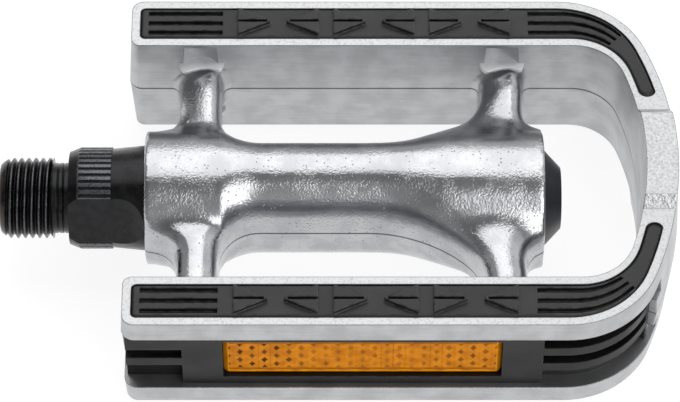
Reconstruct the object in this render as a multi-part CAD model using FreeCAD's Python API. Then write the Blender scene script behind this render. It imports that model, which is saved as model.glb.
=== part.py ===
import FreeCAD, Part
import math
import os

# Platform pedal for the left crank, in millimetres.
# X runs along the spindle, away from the crank, with X = 0 at the crank face of the spindle's collar.
# Y runs across the pedal from its front rail to its rear rail, and Z is up when the pedal lies level.

Vector = FreeCAD.Vector
ALONG = Vector(1, 0, 0)
ACROSS = Vector(0, 1, 0)
UP = Vector(0, 0, 1)
CENTRE = Vector(0, 0, 0)

# Spindle: crank thread, neck and collar
THREAD_DIAMETER = 14.29
THREAD_LENGTH = 9.4
THREAD_TIP_CHAMFER = 1.9
NECK_DIAMETER = 12.5
NECK_LENGTH = 2.9
NECK_GROOVES = 2
NECK_GROOVE_WIDTH = 0.4
NECK_GROOVE_DEPTH = 0.18
COLLAR_DIAMETER = 18.0
COLLAR_WAIST_DIAMETER = 17.5
COLLAR_MOUTH_DIAMETER = 18.7
COLLAR_CHAMFER_LENGTH = 2.0
COLLAR_CHAMFER_DEPTH = 0.76
KNURL_START = 1.75
KNURL_LENGTH = 5.8
KNURL_GROOVES = 44
KNURL_DEPTH = 0.34
KNURL_GROOVE_WIDTH = 0.62
WRENCH_SIZE = 15.0
WRENCH_FLAT_LENGTH = 8.0
WRENCH_RUNOUT_LENGTH = 5.4
WRENCH_TURN = 22.0

# Bearings: loose balls between a cup in the barrel and a cone on the spindle
BALL_DIAMETER = 3.175
BALL_COUNT = 12
BALL_CIRCLE_DIAMETER = 12.7
BALL_CLEARANCE = 0.03
RACE_HOLE_DIAMETER = 11.2
CUP_DIAMETER = 19.4
CUP_FLOOR = 1.6
CUP_LIP = 3.0
INBOARD_BALL_DEPTH = 7.7
OUTBOARD_BALL_DEPTH = 9.7

# Seal behind the collar
SEAL_LAND_DIAMETER = 14.0
SEAL_THICKNESS = 1.6
SEAL_LIP_CLEARANCE = 0.1
COLLAR_DEPTH_IN_BARREL = 2.3

# Outer end of the spindle
SPINDLE_END_DIAMETER = 7.0
SPINDLE_END_DEPTH = 0.3
CONE_ACROSS_FLATS = 11.0
CONE_FLAT_LENGTH = 2.9
WASHER_DIAMETER = 11.6
WASHER_THICKNESS = 1.1
NUT_ACROSS_FLATS = 11.0
NUT_THICKNESS = 3.2
THREAD_CLEARANCE = 0.04
KEY_WIDTH = 2.0
KEY_DEPTH = 0.8

# Dust cap
CAP_BASE_DIAMETER = 17.7
CAP_END_DIAMETER = 10.9
CAP_HEIGHT = 3.2
CAP_WALL = 1.1
CAP_SKIRT_LENGTH = 3.6
CAP_EDGE_RADIUS = 0.25

# Barrel
BARREL_START_X = 13.5
BARREL_LENGTH = 70.2
BOSS_DIAMETER = 23.7
BOSS_FLATTENING = 0.15
WAIST_HALF_WIDTH = 7.65
WAIST_HALF_HEIGHT = 11.4
WAIST_BORE_DIAMETER = 10.8
SIDE_DRAFT = 3.3

# Arms from the barrel to the rails
ARM_HALF_WIDTH = 3.8
ARM_HALF_HEIGHT = 6.85
ARM_EDGE_RADIUS = 3.1
ARM_FOOT_Y = 8.0
ARM_MERGE_Y = 11.6
ARM_OVERLAP = 0.5
INBOARD_ARM_DEPTH = 9.35
OUTBOARD_ARM_DEPTH = 6.85
ROOT_FLARE_RADIUS = 4.0
ROOT_FLARE_RISE = 2.9
ROOT_FLARE_INSET = 0.12
BOSS_FILLET = 4.4
WAIST_FILLET = 7.0
SWEEP_RADIUS = 25.5
SWEEP_SPAN = 24.25
SWEEP_TURN_RADIUS = 9.0
OUTER_BOSS_FILLET = 3.5
WALL_BOSS_RADIUS = 2.5
WALL_BOSS_REACH = 1.3
WALL_DRUM_RADIUS = 3.5
WALL_DRUM_REACH = 2.4
WALL_DRUM_RISE = 0.2

# Rails and loop, measured at the machined top faces
HALF_THICKNESS = 12.0
PLATFORM_WIDTH = 69.48
RAIL_WIDTH = 9.88
RAIL_OVERHANG = 3.0
RAIL_END_OUTER_RADIUS = 2.1
RAIL_END_INNER_RADIUS = 1.6
LOOP_OVERHANG = 23.3
LOOP_THICKNESS = 5.6
LOOP_OUTER_RADIUS = 64.0
CORNER_OUTER_RADIUS = 16.6
CORNER_INNER_RADIUS = 9.3

# Slots for the treads in the top and bottom faces
RIM_WIDTH = 1.54
LOOP_INNER_RIM_WIDTH = 1.15
SLOT_DEPTH = 3.2
SLOT_CORNER_RADIUS = 0.9
SLOT_END_Y = 14.6

# Side channels
CHANNEL_HALF_HEIGHT = 7.56
WEB_THICKNESS = 2.7
CHANNEL_END_Y = 24.3
CHANNEL_END_TURN = 22.5
NOTCH_LENGTH = 2.4
NOTCH_HEIGHT = 3.6
NOTCH_DEPTH = 1.6

# Raised pads at the loop's middle
PAD_HEIGHT = 1.87
PAD_HALF_LENGTH = 8.74
PAD_FOOT_HALF_LENGTH = 10.67

# Treads
FIT_GAP = 0.06
TREAD_PROUD = 0.1
TREAD_EDGE_CHAMFER = 0.45
RIB_PITCH = 2.06
RIB_GROOVE_WIDTH = 1.0
RIB_GROOVE_DEPTH = 1.0
INBOARD_RIBS_BORDER = 1.45
INBOARD_RIBS_LENGTH = 13.35
OUTBOARD_RIBS_OVERHANG = 25.5
BOWTIE_START = 19.05
BOWTIE_PITCH = 17.13
BOWTIE_COUNT = 3
BOWTIE_LENGTH = 14.5
ARROW_LENGTH = 5.8
ARROW_RISE = 0.85
ARROW_MARGIN = 0.5
ARROW_TIP_WIDTH = 0.3
ARROW_SLIT_WIDTH = 0.6

# Side grips and reflectors
GRIP_RECESS = 1.4
GRIP_RIB_PITCH = 4.75
GRIP_RIB_WIDTH = 2.2
GRIP_GROOVE_DEPTH = 1.8
GRIP_GROOVE_END_GAP = 1.0
GRIP_END_INSET = 0.3
GRIP_INBOARD_RIBS_LENGTH = 10.0
GRIP_INBOARD_RIBS_DROP = 0.65
GRIP_PLATE_LENGTH = 7.05
REFLECTOR_LENGTH = 48.3
REFLECTOR_HALF_HEIGHT = 5.4
REFLECTOR_RECESS = 0.85
REFLECTOR_THICKNESS = 2.4
REFLECTOR_END_BEVEL = 0.8
REFLECTOR_SIDE_BEVEL = 0.3
REFLECTOR_BASE_THICKNESS = 1.2

# Sizes that follow from the ones above
DRAFT = math.tan(math.radians(SIDE_DRAFT))
MID_OFFSET = HALF_THICKNESS * DRAFT
BARREL_END_X = BARREL_START_X + BARREL_LENGTH
INBOARD_BALL_X = BARREL_START_X + INBOARD_BALL_DEPTH
OUTBOARD_BALL_X = BARREL_END_X - OUTBOARD_BALL_DEPTH
SPINDLE_END_X = BARREL_END_X - SPINDLE_END_DEPTH
INBOARD_ARM_X = BARREL_START_X + INBOARD_ARM_DEPTH
OUTBOARD_ARM_X = BARREL_END_X - OUTBOARD_ARM_DEPTH
WAIST_START_X = INBOARD_ARM_X + ARM_HALF_WIDTH + WAIST_FILLET
WAIST_END_X = OUTBOARD_ARM_X - SWEEP_SPAN
RAIL_OUTER_Y = PLATFORM_WIDTH / 2
RAIL_INNER_Y = RAIL_OUTER_Y - RAIL_WIDTH
RAIL_START_X = BARREL_START_X - RAIL_OVERHANG
LOOP_OUTER_X = BARREL_END_X + LOOP_OVERHANG
LOOP_INNER_X = LOOP_OUTER_X - LOOP_THICKNESS
LOOP_INNER_RADIUS = LOOP_OUTER_RADIUS - LOOP_THICKNESS
INBOARD_RIBS_START_X = RAIL_START_X + RIM_WIDTH + INBOARD_RIBS_BORDER
INBOARD_RIBS_END_X = INBOARD_RIBS_START_X + INBOARD_RIBS_LENGTH
OUTBOARD_RIBS_START_X = LOOP_OUTER_X - OUTBOARD_RIBS_OVERHANG
BOWTIE_START_X = RAIL_START_X + BOWTIE_START
GRIP_INBOARD_RIBS_END_X = RAIL_START_X + GRIP_INBOARD_RIBS_LENGTH
REFLECTOR_START_X = GRIP_INBOARD_RIBS_END_X + GRIP_PLATE_LENGTH
GRIP_OUTBOARD_RIBS_START_X = REFLECTOR_START_X + REFLECTOR_LENGTH + GRIP_PLATE_LENGTH
CUT_REACH = PLATFORM_WIDTH
BALL_RADIUS = BALL_DIAMETER / 2
BALL_CIRCLE_RADIUS = BALL_CIRCLE_DIAMETER / 2
RACE_RADIUS = BALL_RADIUS + BALL_CLEARANCE
SHAFT_RADIUS = BALL_CIRCLE_RADIUS - RACE_RADIUS
BORE_RADIUS = CUP_DIAMETER / 2
BOSS_RADIUS = BOSS_DIAMETER / 2
INBOARD_CUP_BACK = INBOARD_BALL_X + RACE_RADIUS + CUP_FLOOR
INBOARD_CUP_MOUTH = INBOARD_BALL_X - CUP_LIP
OUTBOARD_CUP_BACK = OUTBOARD_BALL_X - RACE_RADIUS - CUP_FLOOR
OUTBOARD_CUP_MOUTH = OUTBOARD_BALL_X + CUP_LIP
COLLAR_END_X = BARREL_START_X + COLLAR_DEPTH_IN_BARREL
CONE_FLATS_START = OUTBOARD_BALL_X + RACE_RADIUS
CONE_END_X = CONE_FLATS_START + CONE_FLAT_LENGTH
WASHER_END_X = CONE_END_X + WASHER_THICKNESS


def profile_edge(start, end, middle=None):
    """One edge of an X-radius profile: a line, or an arc through a middle point."""
    first = Vector(start[0], start[1], 0)
    last = Vector(end[0], end[1], 0)
    if middle is None:
        return Part.makeLine(first, last)
    return Part.Arc(first, Vector(middle[0], middle[1], 0), last).toShape()


def turned(points):
    """Solid of revolution about the spindle's axis. A point is (x, radius), or (x, radius, arc_middle)."""
    edges = []
    for here, following in zip(points, points[1:] + points[:1]):
        middle = following[2] if len(following) > 2 else None
        if math.dist(here[:2], following[:2]) > 1e-6:
            edges.append(profile_edge(here[:2], following[:2], middle))
    face = Part.Face(Part.Wire(edges))
    solid = face.revolve(CENTRE, ALONG, 360)
    if solid.Volume < 0:
        solid.reverse()
    return solid


def box(x0, x1, y0, y1, z0, z1):
    """Axis-aligned box between two corners."""
    return Part.makeBox(x1 - x0, y1 - y0, z1 - z0, Vector(x0, y0, z0))


def flipped_z(shape):
    """Mirror image in the level mid-plane."""
    return shape.mirror(CENTRE, UP)


def flipped_y(shape):
    """Mirror image from one rail to the other."""
    return shape.mirror(CENTRE, ACROSS)


def race_arc_middle(ball_x, towards_x, towards_r):
    """Middle point of a race's quarter arc, concentric with the ball."""
    reach = RACE_RADIUS * math.sqrt(0.5)
    return (ball_x + towards_x * reach, BALL_CIRCLE_RADIUS + towards_r * reach)


def hexagon_prism(across_flats, x0, x1):
    """Hexagonal bar about the spindle's axis."""
    radius = across_flats / math.sqrt(3)
    corners = [
        Vector(x0, radius * math.cos(math.radians(60 * i)), radius * math.sin(math.radians(60 * i)))
        for i in range(6)
    ]
    wire = Part.makePolygon(corners + corners[:1])
    return Part.Face(wire).extrude(Vector(x1 - x0, 0, 0))


def neck_grooves():
    """Profile points of the turned grooves round the neck, from the thread towards the collar."""
    neck_r = NECK_DIAMETER / 2
    pitch = NECK_LENGTH / (NECK_GROOVES + 1)
    points = []
    for i in range(NECK_GROOVES):
        middle = -NECK_LENGTH + (i + 1) * pitch
        points += [
            (middle - NECK_GROOVE_WIDTH / 2, neck_r),
            (middle, neck_r - NECK_GROOVE_DEPTH),
            (middle + NECK_GROOVE_WIDTH / 2, neck_r),
        ]
    return points


def make_spindle():
    """Black steel spindle: crank thread, collar with knurl and flats, cone race, shaft and threaded end."""
    thread_r = THREAD_DIAMETER / 2
    tip_x = -(THREAD_LENGTH + NECK_LENGTH)
    collar_r = COLLAR_DIAMETER / 2
    knurl_end = KNURL_START + KNURL_LENGTH
    land_r = SEAL_LAND_DIAMETER / 2
    end_r = SPINDLE_END_DIAMETER / 2
    race_face_x = INBOARD_BALL_X - RACE_RADIUS
    shaft_end = OUTBOARD_BALL_X - RACE_RADIUS - CUP_FLOOR / 2
    body = turned([
        (tip_x, 0),
        (tip_x, thread_r - THREAD_TIP_CHAMFER),
        (tip_x + THREAD_TIP_CHAMFER, thread_r),
        (-NECK_LENGTH, thread_r),
        (-NECK_LENGTH, NECK_DIAMETER / 2),
    ] + neck_grooves() + [
        (0, NECK_DIAMETER / 2),
        (0, collar_r - COLLAR_CHAMFER_DEPTH),
        (COLLAR_CHAMFER_LENGTH, collar_r),
        (knurl_end, collar_r),
        (knurl_end, COLLAR_WAIST_DIAMETER / 2),
        (BARREL_START_X, COLLAR_MOUTH_DIAMETER / 2),
        (COLLAR_END_X, COLLAR_MOUTH_DIAMETER / 2),
        (COLLAR_END_X, land_r),
        (race_face_x, land_r),
        (race_face_x, BALL_CIRCLE_RADIUS),
        (INBOARD_BALL_X, SHAFT_RADIUS, race_arc_middle(INBOARD_BALL_X, -1, -1)),
        (shaft_end, SHAFT_RADIUS),
        (shaft_end, end_r),
        (SPINDLE_END_X - 0.6, end_r),
        (SPINDLE_END_X, end_r - 0.6),
        (SPINDLE_END_X, 0),
    ])
    groove = Part.makeCylinder(KNURL_GROOVE_WIDTH / 2, KNURL_LENGTH, Vector(KNURL_START, 0, 0), ALONG)
    groove.translate(Vector(0, 0, collar_r - KNURL_DEPTH + KNURL_GROOVE_WIDTH / 2))
    grooves = []
    for i in range(KNURL_GROOVES):
        copy = groove.copy()
        copy.rotate(CENTRE, ALONG, 360 * i / KNURL_GROOVES)
        grooves.append(copy)
    body = body.cut(Part.makeCompound(grooves))
    flat_y = WRENCH_SIZE / 2
    mouth_r = COLLAR_MOUTH_DIAMETER / 2
    flat_depth = mouth_r - flat_y
    mill_r = (WRENCH_RUNOUT_LENGTH ** 2 + flat_depth ** 2) / (2 * flat_depth)
    mill_foot = Vector(WRENCH_FLAT_LENGTH, flat_y + mill_r, -mouth_r)
    mill = Part.makeCylinder(mill_r, 2 * mouth_r, mill_foot, UP)
    cutter = mill.fuse(box(-1, WRENCH_FLAT_LENGTH, flat_y, flat_y + mill_r, -mouth_r, mouth_r))
    cutter.rotate(CENTRE, ALONG, -WRENCH_TURN)
    opposite = cutter.copy()
    opposite.rotate(CENTRE, ALONG, 180)
    body = body.cut(cutter).cut(opposite)
    half_key = KEY_WIDTH / 2
    keyway = box(CONE_FLATS_START, SPINDLE_END_X + 1, -half_key, half_key, end_r - KEY_DEPTH, end_r + 1)
    return body.cut(keyway)


def make_inboard_cup():
    """Steel cup pressed into the barrel's inner end, with its race facing the crank."""
    wall_r = BALL_CIRCLE_RADIUS + RACE_RADIUS
    face_x = INBOARD_BALL_X + RACE_RADIUS
    return turned([
        (INBOARD_CUP_MOUTH, wall_r),
        (INBOARD_CUP_MOUTH, BORE_RADIUS),
        (INBOARD_CUP_BACK, BORE_RADIUS),
        (INBOARD_CUP_BACK, RACE_HOLE_DIAMETER / 2),
        (face_x, RACE_HOLE_DIAMETER / 2),
        (face_x, BALL_CIRCLE_RADIUS),
        (INBOARD_BALL_X, wall_r, race_arc_middle(INBOARD_BALL_X, 1, 1)),
    ])


def make_outboard_cup():
    """Steel cup pressed into the barrel's outer end, with its race facing the cap."""
    wall_r = BALL_CIRCLE_RADIUS + RACE_RADIUS
    face_x = OUTBOARD_BALL_X - RACE_RADIUS
    return turned([
        (OUTBOARD_CUP_MOUTH, wall_r),
        (OUTBOARD_CUP_MOUTH, BORE_RADIUS),
        (OUTBOARD_CUP_BACK, BORE_RADIUS),
        (OUTBOARD_CUP_BACK, RACE_HOLE_DIAMETER / 2),
        (face_x, RACE_HOLE_DIAMETER / 2),
        (face_x, BALL_CIRCLE_RADIUS),
        (OUTBOARD_BALL_X, wall_r, race_arc_middle(OUTBOARD_BALL_X, -1, 1)),
    ])


def make_balls(ball_x):
    """One ring of loose balls."""
    balls = []
    for i in range(BALL_COUNT):
        angle = 2 * math.pi * i / BALL_COUNT
        place = Vector(ball_x, BALL_CIRCLE_RADIUS * math.cos(angle), BALL_CIRCLE_RADIUS * math.sin(angle))
        balls.append(Part.makeSphere(BALL_RADIUS, place))
    return Part.makeCompound(balls)


def make_seal():
    """Rubber ring between the collar and the inboard cup."""
    end_x = INBOARD_CUP_MOUTH
    start_x = end_x - SEAL_THICKNESS
    lip_r = SEAL_LAND_DIAMETER / 2 + SEAL_LIP_CLEARANCE
    return turned([
        (start_x, lip_r + 0.5),
        (start_x, BORE_RADIUS),
        (end_x, BORE_RADIUS),
        (end_x, lip_r + 0.9),
        (start_x + SEAL_THICKNESS / 2, lip_r),
    ])


def make_adjusting_cone():
    """Cone that screws onto the spindle and sets the play of the outboard balls."""
    inner_r = SPINDLE_END_DIAMETER / 2 + THREAD_CLEARANCE
    nose_x = OUTBOARD_BALL_X - RACE_RADIUS
    flat_r = CONE_ACROSS_FLATS / math.sqrt(3)
    cone = turned([
        (nose_x, inner_r),
        (nose_x, SHAFT_RADIUS),
        (OUTBOARD_BALL_X, SHAFT_RADIUS),
        (CONE_FLATS_START, BALL_CIRCLE_RADIUS, race_arc_middle(OUTBOARD_BALL_X, 1, -1)),
        (CONE_END_X, flat_r),
        (CONE_END_X, inner_r),
    ])
    hexagon = hexagon_prism(CONE_ACROSS_FLATS, CONE_FLATS_START + 0.4, CONE_END_X + 1)
    plain = Part.makeCylinder(BORE_RADIUS, CONE_FLATS_START + 0.4 - nose_x, Vector(nose_x, 0, 0), ALONG)
    return cone.common(hexagon.fuse(plain))


def make_lock_washer():
    """Keyed washer between the cone and the nut."""
    end_r = SPINDLE_END_DIAMETER / 2
    disc = turned([
        (CONE_END_X, end_r + THREAD_CLEARANCE),
        (CONE_END_X, WASHER_DIAMETER / 2),
        (WASHER_END_X, WASHER_DIAMETER / 2),
        (WASHER_END_X, end_r + THREAD_CLEARANCE),
    ])
    half_key = KEY_WIDTH / 2 - THREAD_CLEARANCE
    tongue_z = end_r - KEY_DEPTH + THREAD_CLEARANCE
    tongue = box(CONE_END_X, WASHER_END_X, -half_key, half_key, tongue_z, end_r + 0.5)
    return disc.fuse(tongue).removeSplitter()


def make_lock_nut():
    """Thin hexagon nut on the spindle's end."""
    end_x = WASHER_END_X + NUT_THICKNESS
    corner_r = NUT_ACROSS_FLATS / math.sqrt(3)
    chamfer = corner_r - NUT_ACROSS_FLATS / 2
    blank = turned([
        (WASHER_END_X, SPINDLE_END_DIAMETER / 2 + THREAD_CLEARANCE),
        (WASHER_END_X, corner_r),
        (end_x - chamfer * 0.6, corner_r),
        (end_x, NUT_ACROSS_FLATS / 2),
        (end_x, SPINDLE_END_DIAMETER / 2 + THREAD_CLEARANCE),
    ])
    return blank.common(hexagon_prism(NUT_ACROSS_FLATS, WASHER_END_X - 1, end_x + 1))


def make_dust_cap():
    """Conical plastic cap whose skirt presses into the barrel's outer bore."""
    end_x = BARREL_END_X + CAP_HEIGHT
    skirt_x = BARREL_END_X - CAP_SKIRT_LENGTH
    base_r = CAP_BASE_DIAMETER / 2
    end_r = CAP_END_DIAMETER / 2
    cap = turned([
        (skirt_x, BORE_RADIUS - CAP_WALL),
        (skirt_x, BORE_RADIUS),
        (BARREL_END_X, BORE_RADIUS),
        (BARREL_END_X, base_r),
        (end_x, end_r),
        (end_x, 0),
        (end_x - CAP_WALL, 0),
        (end_x - CAP_WALL, end_r - CAP_WALL),
        (BARREL_END_X, BORE_RADIUS - CAP_WALL),
    ])
    at_end = [e for e in cap.Edges if abs(e.BoundBox.XMin - end_x) < 1e-6]
    rim = [e for e in at_end if abs(e.BoundBox.XMax - end_x) < 1e-6]
    return cap.makeFillet(CAP_EDGE_RADIUS, rim)


def loop_points(side_y, end_x, end_radius, corner_radius):
    """Key points of one U-shaped outline on its +Y side: corner start, corner middle, tangent point."""
    end_centre = end_x - end_radius
    corner_y = side_y - corner_radius
    corner_x = end_centre + math.sqrt((end_radius - corner_radius) ** 2 - corner_y ** 2)
    turn = math.atan2(corner_y, corner_x - end_centre)
    middle_turn = (turn + math.pi / 2) / 2
    start = (corner_x, side_y)
    middle = (
        corner_x + corner_radius * math.cos(middle_turn),
        corner_y + corner_radius * math.sin(middle_turn),
    )
    tangent = (end_centre + end_radius * math.cos(turn), end_radius * math.sin(turn))
    return start, middle, tangent


def at_height(point, z, mirrored=False):
    """Plan point as a vector, on the +Y side or mirrored to the -Y side."""
    return Vector(point[0], -point[1] if mirrored else point[1], z)


def arc_edge(first, middle, last):
    """Arc through three vectors."""
    return Part.Arc(first, middle, last).toShape()


def curve_to_middle(outline, start_x, z):
    """Edges of an outline from start_x on its +Y side, round the loop, to start_x on its -Y side."""
    side_y, end_x = outline[0], outline[1]
    start, middle, tangent = loop_points(*outline)
    plus = [at_height(p, z) for p in (start, middle, tangent)]
    minus = [at_height(p, z, True) for p in (start, middle, tangent)]
    return [
        Part.makeLine(Vector(start_x, side_y, z), plus[0]),
        arc_edge(plus[0], plus[1], plus[2]),
        arc_edge(plus[2], Vector(end_x, 0, z), minus[2]),
        arc_edge(minus[2], minus[1], minus[0]),
        Part.makeLine(minus[0], Vector(start_x, -side_y, z)),
    ]


def rail_end_edges(start_x, outer_y, inner_y, outer_r, inner_r, z, side):
    """Rounded inboard end of one rail, from the outer side to the inner side."""
    corner = math.sqrt(0.5)
    outer_side = Vector(start_x + outer_r, side * outer_y, z)
    outer_mid = Vector(start_x + outer_r * (1 - corner), side * (outer_y - outer_r * (1 - corner)), z)
    outer_end = Vector(start_x, side * (outer_y - outer_r), z)
    inner_end = Vector(start_x, side * (inner_y + inner_r), z)
    inner_mid = Vector(start_x + inner_r * (1 - corner), side * (inner_y + inner_r * (1 - corner)), z)
    inner_side = Vector(start_x + inner_r, side * inner_y, z)
    return [
        arc_edge(outer_side, outer_mid, outer_end),
        Part.makeLine(outer_end, inner_end),
        arc_edge(inner_end, inner_mid, inner_side),
    ]


def outer_outline(offset):
    """Outer plan outline of rails and loop, moved outwards by an offset."""
    sizes = (RAIL_OUTER_Y, LOOP_OUTER_X, LOOP_OUTER_RADIUS, CORNER_OUTER_RADIUS)
    return tuple(size + offset for size in sizes)


def inner_outline(offset):
    """Inner plan outline of rails and loop, moved into the metal by an offset."""
    sizes = (RAIL_INNER_Y, LOOP_INNER_X, LOOP_INNER_RADIUS, CORNER_INNER_RADIUS)
    return tuple(size + offset for size in sizes)


def frame_wire(z, grow):
    """Closed U outline of the two rails and the loop at one height."""
    outer = outer_outline(grow)
    inner = inner_outline(-grow)
    start_x = RAIL_START_X - grow
    outer_r = RAIL_END_OUTER_RADIUS + grow
    inner_r = RAIL_END_INNER_RADIUS + grow
    outer_edges = curve_to_middle(outer, start_x + outer_r, z)
    inner_edges = curve_to_middle(inner, start_x + inner_r, z)
    near_end = rail_end_edges(start_x, outer[0], inner[0], outer_r, inner_r, z, -1)
    far_end = rail_end_edges(start_x, outer[0], inner[0], outer_r, inner_r, z, 1)
    return Part.Wire(Part.__sortEdges__(outer_edges + near_end + inner_edges + far_end))


def make_frame():
    """Drafted rails and loop, solid, with the parting plane at mid-height."""
    top_wire = frame_wire(HALF_THICKNESS, 0)
    mid_wire = frame_wire(0, MID_OFFSET)
    upper = Part.makeLoft([mid_wire, top_wire], True, True)
    pad_face = Part.makePolygon([
        Vector(0, -PAD_FOOT_HALF_LENGTH, HALF_THICKNESS),
        Vector(0, -PAD_HALF_LENGTH, HALF_THICKNESS + PAD_HEIGHT),
        Vector(0, PAD_HALF_LENGTH, HALF_THICKNESS + PAD_HEIGHT),
        Vector(0, PAD_FOOT_HALF_LENGTH, HALF_THICKNESS),
        Vector(0, PAD_FOOT_HALF_LENGTH, HALF_THICKNESS - 1),
        Vector(0, -PAD_FOOT_HALF_LENGTH, HALF_THICKNESS - 1),
        Vector(0, -PAD_FOOT_HALF_LENGTH, HALF_THICKNESS),
    ])
    pad_bar = Part.Face(pad_face).extrude(Vector(LOOP_OUTER_X + 10, 0, 0))
    plan = Part.Face(frame_wire(HALF_THICKNESS - 1, 0)).extrude(Vector(0, 0, PAD_HEIGHT + 2))
    foot_y = PAD_FOOT_HALF_LENGTH
    loop_half = box(BARREL_END_X, LOOP_OUTER_X + CUT_REACH, -foot_y, foot_y, 0, CUT_REACH)
    upper = upper.fuse(pad_bar.common(plan).common(loop_half))
    return upper.fuse(flipped_z(upper)).removeSplitter()


def slot_outlines(gap):
    """Outer and inner plan outlines of the tread slot, shrunk by a gap."""
    outer = outer_outline(-RIM_WIDTH - gap)
    loop_x = LOOP_INNER_X + LOOP_INNER_RIM_WIDTH + gap
    inner = (RAIL_INNER_Y + RIM_WIDTH + gap, loop_x, LOOP_INNER_RADIUS + LOOP_INNER_RIM_WIDTH + gap,
             CORNER_INNER_RADIUS + RIM_WIDTH + gap)
    return outer, inner


def point_on_end(outline, y):
    """Point of an outline's loop arc at a given Y."""
    end_x, radius = outline[1], outline[2]
    return (end_x - radius + math.sqrt(radius ** 2 - y ** 2), y)


def slot_wire(z, gap):
    """Closed outline of the +Y tread slot: straight rail, corner and rounded end near the loop's middle."""
    outer, inner = slot_outlines(gap)
    start_x = RAIL_START_X + RIM_WIDTH + gap
    corner_r = SLOT_CORNER_RADIUS - gap
    outer_points = [at_height(p, z) for p in loop_points(*outer)]
    inner_points = [at_height(p, z) for p in loop_points(*inner)]
    end_y = SLOT_END_Y + gap
    outer_end = at_height(point_on_end(outer, end_y), z)
    inner_end = at_height(point_on_end(inner, end_y), z)
    outer_between = at_height(point_on_end(outer, (end_y + outer_points[2].y) / 2), z)
    inner_between = at_height(point_on_end(inner, (end_y + inner_points[2].y) / 2), z)
    across = outer_end - inner_end
    width = across.Length
    along = Vector(across.y, -across.x, 0) / width
    tip = (outer_end + inner_end) / 2 + along * (width * 0.36)
    corner = math.sqrt(0.5)
    edges = [
        arc_edge(Vector(start_x, outer[0] - corner_r, z),
                 Vector(start_x + corner_r * (1 - corner), outer[0] - corner_r * (1 - corner), z),
                 Vector(start_x + corner_r, outer[0], z)),
        Part.makeLine(Vector(start_x + corner_r, outer[0], z), outer_points[0]),
        arc_edge(*outer_points),
        arc_edge(outer_points[2], outer_between, outer_end),
        arc_edge(outer_end, tip, inner_end),
        arc_edge(inner_end, inner_between, inner_points[2]),
        arc_edge(inner_points[2], inner_points[1], inner_points[0]),
        Part.makeLine(inner_points[0], Vector(start_x + corner_r, inner[0], z)),
        arc_edge(Vector(start_x + corner_r, inner[0], z),
                 Vector(start_x + corner_r * (1 - corner), inner[0] + corner_r * (1 - corner), z),
                 Vector(start_x, inner[0] + corner_r, z)),
        Part.makeLine(Vector(start_x, inner[0] + corner_r, z), Vector(start_x, outer[0] - corner_r, z)),
    ]
    return Part.Wire(edges)


def channel_region(outer, inner, start_x, end_gap, z0, z1):
    """Plan band between two outlines on the +Y side, up to the channel's closed end, as a solid."""
    outer_edges = curve_to_middle(outer, start_x, z0)
    inner_edges = curve_to_middle(inner, start_x, z0)
    cap_near = Part.makeLine(Vector(start_x, -outer[0], z0), Vector(start_x, -inner[0], z0))
    cap_far = Part.makeLine(Vector(start_x, inner[0], z0), Vector(start_x, outer[0], z0))
    wire = Part.Wire(Part.__sortEdges__(outer_edges + [cap_near] + inner_edges + [cap_far]))
    band = Part.Face(wire).extrude(Vector(0, 0, z1 - z0))
    end_point = point_on_end(outer_outline(0), CHANNEL_END_Y)
    reach = 4 * RAIL_OUTER_Y
    keep = Part.makeBox(2 * reach, reach, z1 - z0 + 2, Vector(-reach, end_gap, z0 - 1))
    keep.rotate(Vector(0, 0, 0), UP, CHANNEL_END_TURN)
    keep.translate(Vector(end_point[0], end_point[1], 0))
    keep = keep.common(box(-reach, 2 * reach, 0.5, reach, z0 - 1, z1 + 1))
    return band.common(keep)


def stadium_wire(x, half_width, half_height):
    """Barrel section at one X: drafted sides that meet at the parting plane, and round top and bottom."""
    straight = half_height - half_width
    shoulder = half_width - straight * DRAFT
    top = Vector(x, 0, half_height)
    bottom = Vector(x, 0, -half_height)
    side = Vector(x, half_width, 0)
    other = Vector(x, -half_width, 0)
    edges = [
        Part.makeLine(side, Vector(x, shoulder, straight)),
        arc_edge(Vector(x, shoulder, straight), top, Vector(x, -shoulder, straight)),
        Part.makeLine(Vector(x, -shoulder, straight), other),
        Part.makeLine(other, Vector(x, -shoulder, -straight)),
        arc_edge(Vector(x, -shoulder, -straight), bottom, Vector(x, shoulder, -straight)),
        Part.makeLine(Vector(x, shoulder, -straight), side),
    ]
    return Part.Wire(edges)


def barrel_half_width(x):
    """Plan half-width of the barrel: round bosses, a short blend inboard and a long sweep outboard."""
    if x <= WAIST_START_X:
        reach = min(WAIST_START_X - x, WAIST_FILLET)
        width = WAIST_HALF_WIDTH + WAIST_FILLET - math.sqrt(WAIST_FILLET ** 2 - reach ** 2)
    elif x <= WAIST_END_X:
        width = WAIST_HALF_WIDTH
    else:
        reach = min(x - WAIST_END_X, SWEEP_RADIUS)
        width = WAIST_HALF_WIDTH + SWEEP_RADIUS - math.sqrt(SWEEP_RADIUS ** 2 - reach ** 2)
    return min(width, BOSS_RADIUS - BOSS_FLATTENING)


def barrel_half_height(x):
    """Side-view half-height of the barrel, almost level from boss to boss."""
    if x < WAIST_START_X:
        share = (WAIST_START_X - x) / blend_reach(WAIST_FILLET)
    elif x > WAIST_END_X:
        share = (x - WAIST_END_X) / blend_reach(SWEEP_RADIUS)
    else:
        share = 0
    share = min(share, 1)
    smooth = share * share * (3 - 2 * share)
    return WAIST_HALF_HEIGHT + (BOSS_RADIUS - WAIST_HALF_HEIGHT) * smooth


def barrel_piece(x0, x1, sections, ruled):
    """Length of the barrel between two X, lofted through evenly spaced sections."""
    stations = [x0 + (x1 - x0) * i / (sections - 1) for i in range(sections)]
    wires = [stadium_wire(x, barrel_half_width(x), barrel_half_height(x)) for x in stations]
    return Part.makeLoft(wires, True, ruled)


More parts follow.
